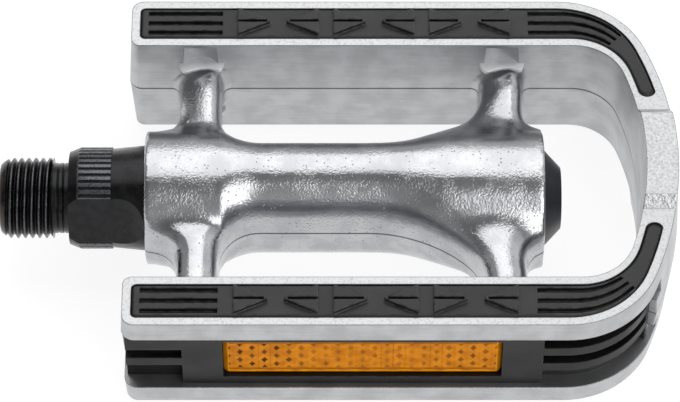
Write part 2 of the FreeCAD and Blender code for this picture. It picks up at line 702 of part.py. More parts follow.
def blend_reach(radius):
    """Distance along X in which a blend of the given radius widens the waist to the boss."""
    rise = BOSS_RADIUS - BOSS_FLATTENING - WAIST_HALF_WIDTH
    return math.sqrt(radius ** 2 - (radius - rise) ** 2)


def make_barrel_body():
    """Outside of the barrel: boss, short blend, waist, long sweep and boss."""
    blend_x = WAIST_START_X - blend_reach(WAIST_FILLET)
    sweep_x = WAIST_END_X + blend_reach(SWEEP_RADIUS)
    pieces = [
        barrel_piece(BARREL_START_X, blend_x, 2, True),
        barrel_piece(blend_x, WAIST_START_X, 9, False),
        barrel_piece(WAIST_START_X, WAIST_END_X, 2, True),
        barrel_piece(WAIST_END_X, sweep_x, 9, False),
        barrel_piece(sweep_x, BARREL_END_X, 2, True),
    ]
    return pieces[0].fuse(pieces[1:])


def arc_about(centre, radius, start_angle, end_angle, z):
    """Arc in plan about a centre, between two angles in degrees."""
    points = []
    for angle in (start_angle, (start_angle + end_angle) / 2, end_angle):
        turn = math.radians(angle)
        points.append(Vector(centre[0] + radius * math.cos(turn), centre[1] + radius * math.sin(turn), z))
    return arc_edge(*points)


def arm_wire(sides, z):
    """Closed plan outline of an arm from arcs of its left and right sides, each listed from the rail down."""
    left, right = sides
    left_top = left[0].Vertexes[0].Point
    right_top = right[0].Vertexes[0].Point
    left_foot = left[-1].Vertexes[-1].Point
    right_foot = right[-1].Vertexes[-1].Point
    rail_y = RAIL_INNER_Y + ARM_OVERLAP
    corners = [
        left_foot, Vector(left_foot.x, ARM_FOOT_Y, z), Vector(right_foot.x, ARM_FOOT_Y, z), right_foot,
    ]
    edges = list(left)
    edges += [Part.makeLine(first, last) for first, last in zip(corners, corners[1:])]
    edges += list(right)
    edges += [
        Part.makeLine(right_top, Vector(right_top.x, rail_y, z)),
        Part.makeLine(Vector(right_top.x, rail_y, z), Vector(left_top.x, rail_y, z)),
        Part.makeLine(Vector(left_top.x, rail_y, z), left_top),
    ]
    return Part.Wire(Part.__sortEdges__(edges))


def inboard_sides(z, inset):
    """Left and right side arcs of the inboard arm."""
    left_centre = (INBOARD_ARM_X - ARM_HALF_WIDTH - BOSS_FILLET, BOSS_RADIUS + BOSS_FILLET)
    right_centre = (WAIST_START_X, WAIST_HALF_WIDTH + WAIST_FILLET)
    right_turn = math.degrees(math.asin((right_centre[1] - ARM_MERGE_Y) / (WAIST_FILLET + inset)))
    left = [arc_about(left_centre, BOSS_FILLET + inset, 0, -78, z)]
    right = [arc_about(right_centre, WAIST_FILLET + inset, 180, 180 + right_turn, z)]
    return left, right


def outboard_sides(z, inset):
    """Left and right side arcs of the outboard arm: a long sweep with a tighter turn, and a boss fillet."""
    side_x = OUTBOARD_ARM_X - ARM_HALF_WIDTH
    sweep_y = WAIST_HALF_WIDTH + SWEEP_RADIUS
    turn_x = side_x - SWEEP_TURN_RADIUS
    apart = SWEEP_RADIUS - SWEEP_TURN_RADIUS
    turn_y = sweep_y - math.sqrt(apart ** 2 - (turn_x - WAIST_END_X) ** 2)
    join = math.degrees(math.atan2(turn_y - sweep_y, turn_x - WAIST_END_X))
    sweep_end = -math.degrees(math.asin((sweep_y - ARM_MERGE_Y) / (SWEEP_RADIUS + inset)))
    left = [
        arc_about((turn_x, turn_y), SWEEP_TURN_RADIUS + inset, 0, join, z),
        arc_about((WAIST_END_X, sweep_y), SWEEP_RADIUS + inset, join, sweep_end, z),
    ]
    right_centre = (OUTBOARD_ARM_X + ARM_HALF_WIDTH + OUTER_BOSS_FILLET, BOSS_RADIUS + OUTER_BOSS_FILLET)
    reach = max((right_centre[0] - BARREL_END_X) / (OUTER_BOSS_FILLET + inset), 0.05)
    right = [arc_about(right_centre, OUTER_BOSS_FILLET + inset, 180, 180 + math.degrees(math.acos(reach)), z)]
    return left, right


def make_arm(sides):
    """One arm on the +Y side: drafted from the parting plane, with rounded upper and lower edges."""
    height = ARM_HALF_HEIGHT
    middle = arm_wire(sides(0, 0), 0)
    top = arm_wire(sides(height, height * DRAFT), height)
    half = Part.makeLoft([middle, top], True, True)
    edges = []
    for edge in half.Edges:
        bounds = edge.BoundBox
        along_rail = bounds.YMin > RAIL_INNER_Y
        if bounds.ZMin > height - 1e-4 and bounds.YMax > ARM_MERGE_Y + 1e-3 and not along_rail:
            edges.append(edge)
    half = half.makeFillet(ARM_EDGE_RADIUS, edges)
    return half.fuse(flipped_z(half))


def flare_wire(y, left_x, right_x, half_height, edge_radius):
    """Section of an arm's flared root at one Y: a rounded rectangle in X and Z."""
    corner = edge_radius * (1 - math.sqrt(0.5))
    edges = []
    for x, away in ((left_x, 1), (right_x, -1)):
        for up in (1, -1):
            edges.append(arc_edge(
                Vector(x, y, up * (half_height - edge_radius)),
                Vector(x + away * corner, y, up * (half_height - corner)),
                Vector(x + away * edge_radius, y, up * half_height),
            ))
        side_z = half_height - edge_radius
        edges.append(Part.makeLine(Vector(x, y, side_z), Vector(x, y, -side_z)))
    for up in (1, -1):
        edges.append(Part.makeLine(Vector(left_x + edge_radius, y, up * half_height),
                                   Vector(right_x - edge_radius, y, up * half_height)))
    return Part.Wire(Part.__sortEdges__(edges))


def make_root_flare(left_x, right_at):
    """Flare that lifts an arm's root into the barrel's side. right_at gives its moving side at each Y."""
    foot_y = BOSS_RADIUS - 0.3
    wires = []
    for i in range(6):
        y = foot_y - ROOT_FLARE_RISE * i / 5
        rise = ROOT_FLARE_RADIUS - math.sqrt(ROOT_FLARE_RADIUS ** 2 - (foot_y - y) ** 2)
        x0, x1 = sorted((left_x, right_at(y)))
        radius = ARM_EDGE_RADIUS + (foot_y - y) * 0.5
        left, right = x0 + ROOT_FLARE_INSET, x1 - ROOT_FLARE_INSET
        wires.append(flare_wire(y, left, right, ARM_HALF_HEIGHT + rise, radius))
    return Part.makeLoft(wires, True, False)


def inboard_flare_side(y):
    """Waist side of the inboard arm's root."""
    return WAIST_START_X - math.sqrt(WAIST_FILLET ** 2 - (WAIST_HALF_WIDTH + WAIST_FILLET - y) ** 2)


def outboard_flare_side(y):
    """Waist side of the outboard arm's root."""
    return WAIST_END_X + math.sqrt(SWEEP_RADIUS ** 2 - (WAIST_HALF_WIDTH + SWEEP_RADIUS - y) ** 2)


def make_wall_boss(arm_x):
    """Half-round boss on the rail's inner wall, with a wider drum round the arm's end."""
    wall_y = RAIL_INNER_Y + ARM_OVERLAP
    height = 2 * HALF_THICKNESS - 0.6
    boss_y = RAIL_INNER_Y - WALL_BOSS_REACH + WALL_BOSS_RADIUS
    boss = Part.makeCylinder(WALL_BOSS_RADIUS, height, Vector(arm_x, boss_y, -height / 2), UP)
    drum_half = ARM_HALF_HEIGHT + WALL_DRUM_RISE
    drum_y = RAIL_INNER_Y - WALL_DRUM_REACH + WALL_DRUM_RADIUS
    drum = Part.makeCylinder(WALL_DRUM_RADIUS, 2 * drum_half, Vector(arm_x, drum_y, -drum_half), UP)
    wall = box(arm_x - ARM_HALF_WIDTH, arm_x + ARM_HALF_WIDTH, 0, wall_y, -HALF_THICKNESS, HALF_THICKNESS)
    return boss.fuse(drum).common(wall)


def make_platform_body():
    """The casting: rails, loop, arms and barrel in one piece, with its bores, slots and channels."""
    body = make_frame()
    arms = []
    inboard_flare = make_root_flare(INBOARD_ARM_X - ARM_HALF_WIDTH - 0.7 * BOSS_FILLET, inboard_flare_side)
    outboard_flare = make_root_flare(BARREL_END_X - 0.1, outboard_flare_side)
    for sides, arm_x, flare in ((inboard_sides, INBOARD_ARM_X, inboard_flare),
                                (outboard_sides, OUTBOARD_ARM_X, outboard_flare)):
        arm = make_arm(sides).fuse([flare, make_wall_boss(arm_x)])
        arms.append(arm)
        arms.append(flipped_y(arm))
    body = body.fuse([make_barrel_body()] + arms)
    slot = Part.Face(slot_wire(HALF_THICKNESS - SLOT_DEPTH, 0)).extrude(Vector(0, 0, SLOT_DEPTH + 1))
    channel = channel_region(outer_outline(5), inner_outline(WEB_THICKNESS), RAIL_START_X - 5, 0,
                             -CHANNEL_HALF_HEIGHT, CHANNEL_HALF_HEIGHT)
    notch_floor = outer_outline(MID_OFFSET - NOTCH_DEPTH)
    notch = channel_region(outer_outline(5), notch_floor, LOOP_INNER_X - CORNER_OUTER_RADIUS,
                           -NOTCH_LENGTH, CHANNEL_HALF_HEIGHT - NOTCH_HEIGHT, CHANNEL_HALF_HEIGHT)
    far_slot = flipped_y(slot)
    cutters = [slot, far_slot, flipped_z(slot), flipped_z(far_slot), channel, flipped_y(channel)]
    cutters += [notch, flipped_y(notch), flipped_z(notch), flipped_z(flipped_y(notch))]
    bore = turned([
        (BARREL_START_X - 5, 0),
        (BARREL_START_X - 5, BORE_RADIUS),
        (INBOARD_CUP_BACK, BORE_RADIUS),
        (INBOARD_CUP_BACK, WAIST_BORE_DIAMETER / 2),
        (OUTBOARD_CUP_BACK, WAIST_BORE_DIAMETER / 2),
        (OUTBOARD_CUP_BACK, BORE_RADIUS),
        (BARREL_END_X + 5, BORE_RADIUS),
        (BARREL_END_X + 5, 0),
    ])
    body = body.cut(cutters + [bore])
    return body.removeSplitter()


def rib_outline(share):
    """Plan outline that runs along the tread, from its inner edge at share 0 to its outer edge at share 1."""
    outer, inner = slot_outlines(0)
    return tuple(first + (last - first) * share for first, last in zip(inner, outer))


def groove_along(share, half_share, x0, x1, floor_z, top_z):
    """Groove that follows the tread between two X, and fades out in the corner."""
    outer = rib_outline(share + half_share)
    inner = rib_outline(share - half_share)
    outer_edges = curve_to_middle(outer, x0, floor_z)
    inner_edges = curve_to_middle(inner, x0, floor_z)
    near = Part.makeLine(Vector(x0, -outer[0], floor_z), Vector(x0, -inner[0], floor_z))
    far = Part.makeLine(Vector(x0, inner[0], floor_z), Vector(x0, outer[0], floor_z))
    wire = Part.Wire(Part.__sortEdges__(outer_edges + [near] + inner_edges + [far]))
    band = Part.Face(wire).extrude(Vector(0, 0, top_z - floor_z))
    reach = RAIL_OUTER_Y + 10
    corner_x, corner_y = loop_points(*rib_outline(0.5))[0][0], rib_outline(0.5)[0] - rib_outline(0.5)[3]
    limit = [(x0, reach), (x0, corner_y), (corner_x, corner_y), (corner_x + reach, corner_y + reach)]
    if x1 < corner_x:
        limit = [(x0, reach), (x0, 1), (x1, 1), (x1, reach)]
    corners = [Vector(x, y, floor_z - 1) for x, y in limit]
    keep = Part.Face(Part.makePolygon(corners + corners[:1])).extrude(Vector(0, 0, top_z - floor_z + 2))
    return band.common(keep)


def make_tread():
    """Black insert for the +Y top slot: plain bars, bow-tie arrows and two ribbed zones."""
    floor_z = HALF_THICKNESS - SLOT_DEPTH + FIT_GAP
    top_z = HALF_THICKNESS + TREAD_PROUD
    edge_z = top_z - TREAD_EDGE_CHAMFER
    body = Part.makeLoft([
        slot_wire(floor_z, FIT_GAP),
        slot_wire(edge_z, FIT_GAP),
        slot_wire(top_z, FIT_GAP + TREAD_EDGE_CHAMFER),
    ], True, True)
    outer, inner = slot_outlines(FIT_GAP)
    centre_y = (outer[0] + inner[0]) / 2
    half_width = (outer[0] - inner[0]) / 2
    half_share = RIB_GROOVE_WIDTH / (4 * half_width)
    pitch_share = RIB_PITCH / (2 * half_width)
    grooves = []
    for x0, x1 in ((INBOARD_RIBS_START_X, INBOARD_RIBS_END_X), (OUTBOARD_RIBS_START_X, LOOP_OUTER_X)):
        for i in (-1, 0, 1):
            share = 0.5 + i * pitch_share
            grooves.append(groove_along(share, half_share, x0, x1, top_z - RIB_GROOVE_DEPTH, top_z + 1))
    body = body.cut(grooves)
    arrows = []
    for i in range(BOWTIE_COUNT):
        start = BOWTIE_START_X + i * BOWTIE_PITCH
        arrows.append(make_arrow(start, 1, centre_y, half_width, top_z))
        arrows.append(make_arrow(start + BOWTIE_LENGTH, -1, centre_y, half_width, top_z))
    return body.fuse(arrows).removeSplitter()


def make_arrow(outer_x, heading, centre_y, half_width, top_z):
    """Raised triangle of a bow-tie, as wide as the tread at its outer edge, with a slit in it."""
    half = half_width - ARROW_MARGIN
    sunk_z = top_z - 0.4
    corners = [
        Vector(outer_x, centre_y - half, sunk_z),
        Vector(outer_x, centre_y + half, sunk_z),
        Vector(outer_x + heading * ARROW_LENGTH, centre_y + ARROW_TIP_WIDTH / 2, sunk_z),
        Vector(outer_x + heading * ARROW_LENGTH, centre_y - ARROW_TIP_WIDTH / 2, sunk_z),
    ]
    outline = Part.Face(Part.makePolygon(corners + corners[:1]))
    body = outline.extrude(Vector(0, 0, top_z - sunk_z + ARROW_RISE))
    slit_end = outer_x + heading * (ARROW_LENGTH - ARROW_SLIT_WIDTH)
    slit_start = outer_x - heading
    slit = box(min(slit_start, slit_end), max(slit_start, slit_end),
               centre_y - ARROW_SLIT_WIDTH / 2, centre_y + ARROW_SLIT_WIDTH / 2, top_z, top_z + 5)
    return body.cut(slit)


def make_side_grip():
    """Black insert in the +Y side channel, with ribbed ends and a window for the reflector."""
    half = CHANNEL_HALF_HEIGHT - FIT_GAP
    face = MID_OFFSET - GRIP_RECESS
    start_x = RAIL_START_X + GRIP_END_INSET
    back = inner_outline(WEB_THICKNESS + FIT_GAP)
    body = channel_region(outer_outline(face), back, start_x, FIT_GAP, -half, half)
    face_y = RAIL_OUTER_Y + face
    window = box(REFLECTOR_START_X, REFLECTOR_START_X + REFLECTOR_LENGTH,
                 face_y - REFLECTOR_RECESS - REFLECTOR_THICKNESS - REFLECTOR_BASE_THICKNESS, face_y + 1,
                 -REFLECTOR_HALF_HEIGHT - FIT_GAP, REFLECTOR_HALF_HEIGHT + FIT_GAP)
    cutters = [window]
    floor = face - GRIP_GROOVE_DEPTH
    gap = GRIP_RIB_PITCH - GRIP_RIB_WIDTH
    inboard = box(start_x - 1, GRIP_INBOARD_RIBS_END_X, 0, CUT_REACH, -CUT_REACH, CUT_REACH)
    outboard = box(GRIP_OUTBOARD_RIBS_START_X, LOOP_OUTER_X + 1, 0, CUT_REACH, -CUT_REACH, CUT_REACH)
    upper_z = GRIP_RIB_PITCH / 2 - GRIP_INBOARD_RIBS_DROP
    lower_top_z = upper_z - GRIP_RIB_PITCH + gap / 2
    cutters.append(grip_groove(face, floor, upper_z, gap).common(inboard))
    cutters.append(grip_groove(face, floor, (lower_top_z - half) / 2, lower_top_z + half).common(inboard))
    for side in (-1, 1):
        z = side * (GRIP_RIB_PITCH + (half - GRIP_RIB_PITCH - gap / 2) / 2)
        cutters.append(grip_groove(face, floor, z, half - GRIP_RIB_PITCH + gap / 2).common(outboard))
    cutters.append(grip_groove(face, floor, 0, gap).common(outboard))
    return body.cut(cutters)


def grip_groove(face, floor, z, width):
    """Groove in the side grip's face that follows the rail and the corner."""
    return channel_region(outer_outline(face + 2), outer_outline(floor), RAIL_START_X - 1,
                          GRIP_GROOVE_END_GAP, z - width / 2, z + width / 2)


def make_reflector_lens():
    """Amber lens on the +Y side, with bevelled edges."""
    face_y = RAIL_OUTER_Y + MID_OFFSET - GRIP_RECESS - REFLECTOR_RECESS
    x0 = REFLECTOR_START_X + FIT_GAP
    x1 = REFLECTOR_START_X + REFLECTOR_LENGTH - FIT_GAP
    half = REFLECTOR_HALF_HEIGHT
    body = box(x0, x1, face_y - REFLECTOR_THICKNESS, face_y, -half, half)
    front = [e for e in body.Edges if e.BoundBox.YMin > face_y - 1e-4]
    body = body.makeChamfer(REFLECTOR_SIDE_BEVEL, [e for e in front if e.BoundBox.XLength > 1])
    outline = Part.makePolygon([
        Vector(x0, face_y - REFLECTOR_THICKNESS, -half),
        Vector(x0, face_y - REFLECTOR_END_BEVEL, -half),
        Vector(x0 + REFLECTOR_END_BEVEL, face_y, -half),
        Vector(x1 - REFLECTOR_END_BEVEL, face_y, -half),
        Vector(x1, face_y - REFLECTOR_END_BEVEL, -half),
        Vector(x1, face_y - REFLECTOR_THICKNESS, -half),
        Vector(x0, face_y - REFLECTOR_THICKNESS, -half),
    ])
    return body.common(Part.Face(outline).extrude(Vector(0, 0, 2 * half)))


def make_reflector_base():
    """Plate behind the +Y lens."""
    face_y = RAIL_OUTER_Y + MID_OFFSET - GRIP_RECESS - REFLECTOR_RECESS - REFLECTOR_THICKNESS
    x0 = REFLECTOR_START_X + FIT_GAP
    x1 = REFLECTOR_START_X + REFLECTOR_LENGTH - FIT_GAP
    half = REFLECTOR_HALF_HEIGHT
    return box(x0, x1, face_y - REFLECTOR_BASE_THICKNESS + FIT_GAP, face_y - 0.02, -half, half)


def build_nodes():
    """All pieces by node name."""
    tread = make_tread()
    grip = make_side_grip()
    lens = make_reflector_lens()
    base = make_reflector_base()
    return {
        "spindle": make_spindle(),
        "inboard_seal": make_seal(),
        "inboard_cup": make_inboard_cup(),
        "inboard_balls": make_balls(INBOARD_BALL_X),
        "platform_body": make_platform_body(),
        "outboard_cup": make_outboard_cup(),
        "outboard_balls": make_balls(OUTBOARD_BALL_X),
        "adjusting_cone": make_adjusting_cone(),
        "lock_washer": make_lock_washer(),
        "lock_nut": make_lock_nut(),
        "dust_cap": make_dust_cap(),
        "rear_upper_tread": tread,
        "rear_lower_tread": flipped_z(tread),
        "front_upper_tread": flipped_y(tread),
        "front_lower_tread": flipped_z(flipped_y(tread)),
        "rear_side_grip": grip,
        "front_side_grip": flipped_y(grip),
        "rear_reflector_lens": lens,
        "front_reflector_lens": flipped_y(lens),
        "rear_reflector_base": base,
        "front_reflector_base": flipped_y(base),
    }


def main():
    """Build every piece and write one STEP file for each."""
    os.makedirs("parts", exist_ok=True)
    for name, shape in build_nodes().items():
        print(f"{name}: {len(shape.Solids)} solids, {shape.Volume:.1f} mm3, valid {shape.isValid()}")
        shape.exportStep(f"parts/{name}.step")


main()
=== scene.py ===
import logging
import math
from collections.abc import Callable, Iterable, Iterator
from contextlib import contextmanager
from dataclasses import dataclass
from enum import Enum
from functools import partial

import bmesh
import bpy
import numpy as np
from mathutils import Matrix, Vector


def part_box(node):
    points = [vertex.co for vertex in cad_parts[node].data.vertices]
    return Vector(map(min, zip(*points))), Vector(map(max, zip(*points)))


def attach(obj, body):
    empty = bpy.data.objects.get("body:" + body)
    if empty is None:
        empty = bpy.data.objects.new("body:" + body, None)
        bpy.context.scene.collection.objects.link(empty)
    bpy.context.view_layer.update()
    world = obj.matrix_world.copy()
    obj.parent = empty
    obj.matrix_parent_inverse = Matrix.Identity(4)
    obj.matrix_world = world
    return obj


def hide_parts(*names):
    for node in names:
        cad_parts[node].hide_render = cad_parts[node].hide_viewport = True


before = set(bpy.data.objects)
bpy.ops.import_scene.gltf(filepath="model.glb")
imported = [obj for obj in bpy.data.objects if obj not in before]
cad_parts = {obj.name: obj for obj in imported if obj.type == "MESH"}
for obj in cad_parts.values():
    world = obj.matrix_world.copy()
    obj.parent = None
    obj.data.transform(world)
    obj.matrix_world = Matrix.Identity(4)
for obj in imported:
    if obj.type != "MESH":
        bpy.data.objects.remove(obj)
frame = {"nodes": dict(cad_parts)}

MM = 0.001
log = logging.getLogger("pedal")

Socket = bpy.types.NodeSocket
Given = Socket | bpy.types.Node | float | str | tuple[float, ...]
AddNode = Callable[..., bpy.types.Node]

# what nearly every node of a kind is set to here
USUAL = {
    "ShaderNodeMapRange": {"interpolation_type": "SMOOTHSTEP"},
    "ShaderNodeMix": {"data_type": "RGBA"},
}


class Side(Enum):
    """The two long sides of the cage, by the sign of their place along Y."""

    FRONT = -1
    REAR = 1


class Cut(Enum):
    """What a cutter does to a piece."""

    TAKE_AWAY = "DIFFERENCE"
    KEEP_INSIDE = "INTERSECT"
    JOIN = "UNION"


def linear(hex_colour: str) -> tuple[float, float, float, float]:
    """Turns an sRGB colour into the linear values a shader takes.

    Args:
        hex_colour: the colour as six hex digits, such as "C8C9CC".

    Returns:
        Red, green, blue and an alpha of 1.
    """
    parts = [int(hex_colour[i : i + 2], 16) / 255 for i in (0, 2, 4)]
    red, green, blue = (p / 12.92 if p <= 0.04045 else ((p + 0.055) / 1.055) ** 2.4 for p in parts)
    return (red, green, blue, 1.0)


def per_mm(size_mm: float) -> float:
    """Gives the texture scale at which one feature is as large as size_mm."""
    return 1.0 / (size_mm * MM)


def feed(node: bpy.types.Node, inputs: dict[str, Given] | Iterable[Given]) -> bpy.types.Node:
    """Sets or links the inputs of a node.

    Args:
        node: the node.
        inputs: what goes in, by the inputs' names or in their order: a number, a vector, a colour
            as six hex digits, or the socket or node that it comes from, by its first output.

    Returns:
        The same node.
    """
    ports = [port for port in node.inputs if port.enabled]
    if isinstance(inputs, dict):
        ports = [next(port for port in ports if port.name == name) for name in inputs]
        inputs = inputs.values()
    for port, value in zip(ports, inputs):
        if isinstance(value, bpy.types.Node):
            value = next(output for output in value.outputs if output.enabled)
        if isinstance(value, Socket):
            node.id_data.links.new(value, port)
        else:
            port.default_value = linear(value) if isinstance(value, str) else value
    return node


def add_node(
    tree: bpy.types.NodeTree,
    kind: str,
    inputs: dict[str, Given] | Iterable[Given] = (),
    **settings: object,
) -> bpy.types.Node:
    """Adds a node with its settings and what goes into it.

    Args:
        tree: the tree that takes the node.
        kind: the node's type, such as "ShaderNodeBump", or what a Math node does, such as "ADD".
        inputs: what goes in, as feed() takes it.
        settings: the node's own settings, such as samples=6.

    Returns:
        The new node.
    """
    if kind.isupper():
        kind, settings = "ShaderNodeMath", {"operation": kind}
    node = tree.nodes.new(kind)
    for name, value in {**USUAL.get(kind, {}), **settings}.items():
        setattr(node, name, value)
    return feed(node, inputs)


def start_rule(name: str, sizes: dict[str, float]) -> bpy.types.NodeTree:
    """Starts a geometry rule.

    Args:
        name: the rule's name.
        sizes: its named inputs, in metres where they are lengths.

    Returns:
        The rule's tree, still empty.
    """
    tree = bpy.data.node_groups.new(name, "GeometryNodeTree")
    for label, value in sizes.items():
        socket = tree.interface.new_socket(label, in_out="INPUT", socket_type="NodeSocketFloat")
        socket.default_value = value
    tree.interface.new_socket("Geometry", in_out="OUTPUT", socket_type="NodeSocketGeometry")
    return tree


def follow_rule(
    name: str, tree: bpy.types.NodeTree, shape: bpy.types.Node, material: bpy.types.Material
) -> bpy.types.Object:
    """Ends a geometry rule and makes the piece that follows it.

    Args:
        name: the piece's name.
        tree: the rule's tree.
        shape: the node that gives the shape.
        material: the finish the shape is set in.

    Returns:
        The piece, with a plain mesh.
    """
    real = add_node(tree, "GeometryNodeRealizeInstances", [shape])
    painted = add_node(tree, "GeometryNodeSetMaterial", {"Geometry": real, "Material": material})
    add_node(tree, "NodeGroupOutput", [painted])
    piece = new_piece(name)
    piece.modifiers.new("rule", "NODES").node_group = tree
    return settle(piece)


def settle(piece: bpy.types.Object) -> bpy.types.Object:
    """Makes what a piece's modifiers give its own plain mesh.

    Args:
        piece: the object whose modifiers are worked out and removed.

    Returns:
        The same object.
    """
    bpy.context.view_layer.update()
    seen = piece.evaluated_get(bpy.context.evaluated_depsgraph_get())
    mesh = bpy.data.meshes.new_from_object(seen)
    piece.modifiers.clear()
    piece.data = mesh
    return piece


def new_piece(name: str) -> bpy.types.Object:
    """Puts an object with an empty mesh into the scene, at the origin.

    Args:
        name: the name of the object and its mesh.

    Returns:
        The object.
    """
    piece = bpy.data.objects.new(name, bpy.data.meshes.new(name))
    bpy.context.scene.collection.objects.link(piece)
    return piece


@contextmanager
def shaping(piece: bpy.types.Object) -> Iterator[bmesh.types.BMesh]:
    """Opens a piece's mesh for changes, and writes them back at the end.

    Args:
        piece: the piece.

    Yields:
        The form to change.
    """
    form = bmesh.new()
    form.from_mesh(piece.data)
    yield form
    form.to_mesh(piece.data)
    form.free()


def merged_copy(node: bpy.types.Object, name: str) -> bpy.types.Object:
    """Copies a CAD node into a piece of its own, with its loose triangles joined.

    Args:
        node: the CAD node.
        name: the name of the new piece.

    Returns:
        The new piece.
    """
    piece = new_piece(name)
    with shaping(piece) as form:
        form.from_mesh(node.data)
        bmesh.ops.remove_doubles(form, verts=form.verts, dist=0.002 * MM)
    return piece


def block(name: str, low: Iterable[float], high: Iterable[float]) -> bpy.types.Object:
    """Makes a box that cuts other pieces, from two corners in millimetres.

    Args:
        name: the object's name.
        low: the lowest corner.
        high: the highest corner.

    Returns:
        The box.
    """
    piece = new_piece(name)
    first, last = Vector(low) * MM, Vector(high) * MM
    with shaping(piece) as form:
        bmesh.ops.create_cube(form, size=1.0)
        for corner in form.verts:
            share = corner.co + Vector((0.5, 0.5, 0.5))
            corner.co = Vector(a + (b - a) * s for a, b, s in zip(first, last, share))
    return piece


def close_between(
    form: bmesh.types.BMesh, first: Iterable[Vector], last: Iterable[Vector]
) -> None:
    """Closes a solid between two outlines with the same number of points.

    Args:
        form: the form that takes the solid.
        first: one outline's points in millimetres.
        last: the other's.
    """
    near, far = ([form.verts.new(point * MM) for point in outline] for outline in (first, last))
    form.faces.new(near)
    form.faces.new(far[::-1])
    for i, corner in enumerate(near):
        j = (i + 1) % len(near)
        form.faces.new((corner, far[i], far[j], near[j]))


def trim(piece: bpy.types.Object, cut: Cut, cutters: list[bpy.types.Object]) -> None:
    """Cuts a piece and removes the cutters.

    Args:
        piece: the piece that is cut.
        cut: what the cutters do.
        cutters: the cutters, which are joined first where what lies inside them is kept.
    """
    first = cutters[0]
    if cut is Cut.KEEP_INSIDE:
        steps = [(first, Cut.JOIN, cutters[1:]), (piece, cut, [first])]
    else:
        steps = [(piece, cut, cutters)]
    for target, kind, tools in steps:
        for tool in tools:
            step = target.modifiers.new("cut", "BOOLEAN")
            step.operation = kind.value
            step.solver = "EXACT"
            step.object = tool
        settle(target)
    for cutter in cutters:
        bpy.data.objects.remove(cutter)


def smooth_shading(piece: bpy.types.Object, angle: float) -> None:
    """Shades a piece smoothly, and keeps the edges that turn more than an angle sharp.

    Args:
        piece: the piece.
        angle: the angle in degrees.
    """
    limit = math.radians(angle)
    with shaping(piece) as form:
        for face in form.faces:
            face.smooth = True
        for edge in form.edges:
            edge.smooth = len(edge.link_faces) == 2 and edge.calc_face_angle(0.0) < limit


def ease(value: np.ndarray, start: float, end: float) -> np.ndarray:
    """Rises smoothly from 0 to 1 while the value goes from start to end."""
    share = np.clip((value - start) / (end - start), 0.0, 1.0)
    return share * share * (3.0 - 2.0 * share)


def dress(piece: bpy.types.Object, material: bpy.types.Material) -> None:
    """Gives the whole of a piece one material.

    Args:
        piece: the piece.
        material: the material.
    """
    piece.data.materials.clear()
    piece.data.materials.append(material)
    for polygon in piece.data.polygons:
        polygon.material_index = 0
    log.info("%s: %d faces, %s", piece.name, len(piece.data.polygons), material.name)


def edge_bend(
    add: AddNode, radius_mm: float, samples: int
) -> tuple[bpy.types.Node, bpy.types.Node]:
    """Rounds a surface's edges to the eye, and finds where they are.

    Args:
        add: adds a node to the material.
        radius_mm: how wide the rounding is.
        samples: how many looks are taken round each point.

    Returns:
        The rounded surface's direction, and a value of 1 on a flat that falls at the edges.
    """
    soft = add("ShaderNodeBevel", {"Radius": radius_mm * MM}, samples=samples)
    sharp = add("ShaderNodeNewGeometry").outputs["Normal"]
    return soft, add("ShaderNodeVectorMath", [soft, sharp], operation="DOT_PRODUCT")


@dataclass(frozen=True)
class Finish:
    """A finish: the inputs of one Principled shader, with the patterns that go into them."""

    name: str

    def material(self) -> bpy.types.Material:
        """Builds the material.

        Returns:
            The material, which bears the finish's name.
        """
        material = bpy.data.materials.new(self.name)
        material.use_nodes = True
        tree = material.node_tree
        add = partial(add_node, tree)
        place = add("ShaderNodeTexCoord").outputs["Object"]
        feed(tree.nodes["Principled BSDF"], self.surface(add, place))
        return material

    def surface(self, add: AddNode, place: Socket) -> dict[str, Given]:
        """Works out the surface.

        Args:
            add: adds a node to the material.
            place: where on the object the shader is.

        Returns:
            What goes into the shader, by its inputs' names.
        """
        raise NotImplementedError


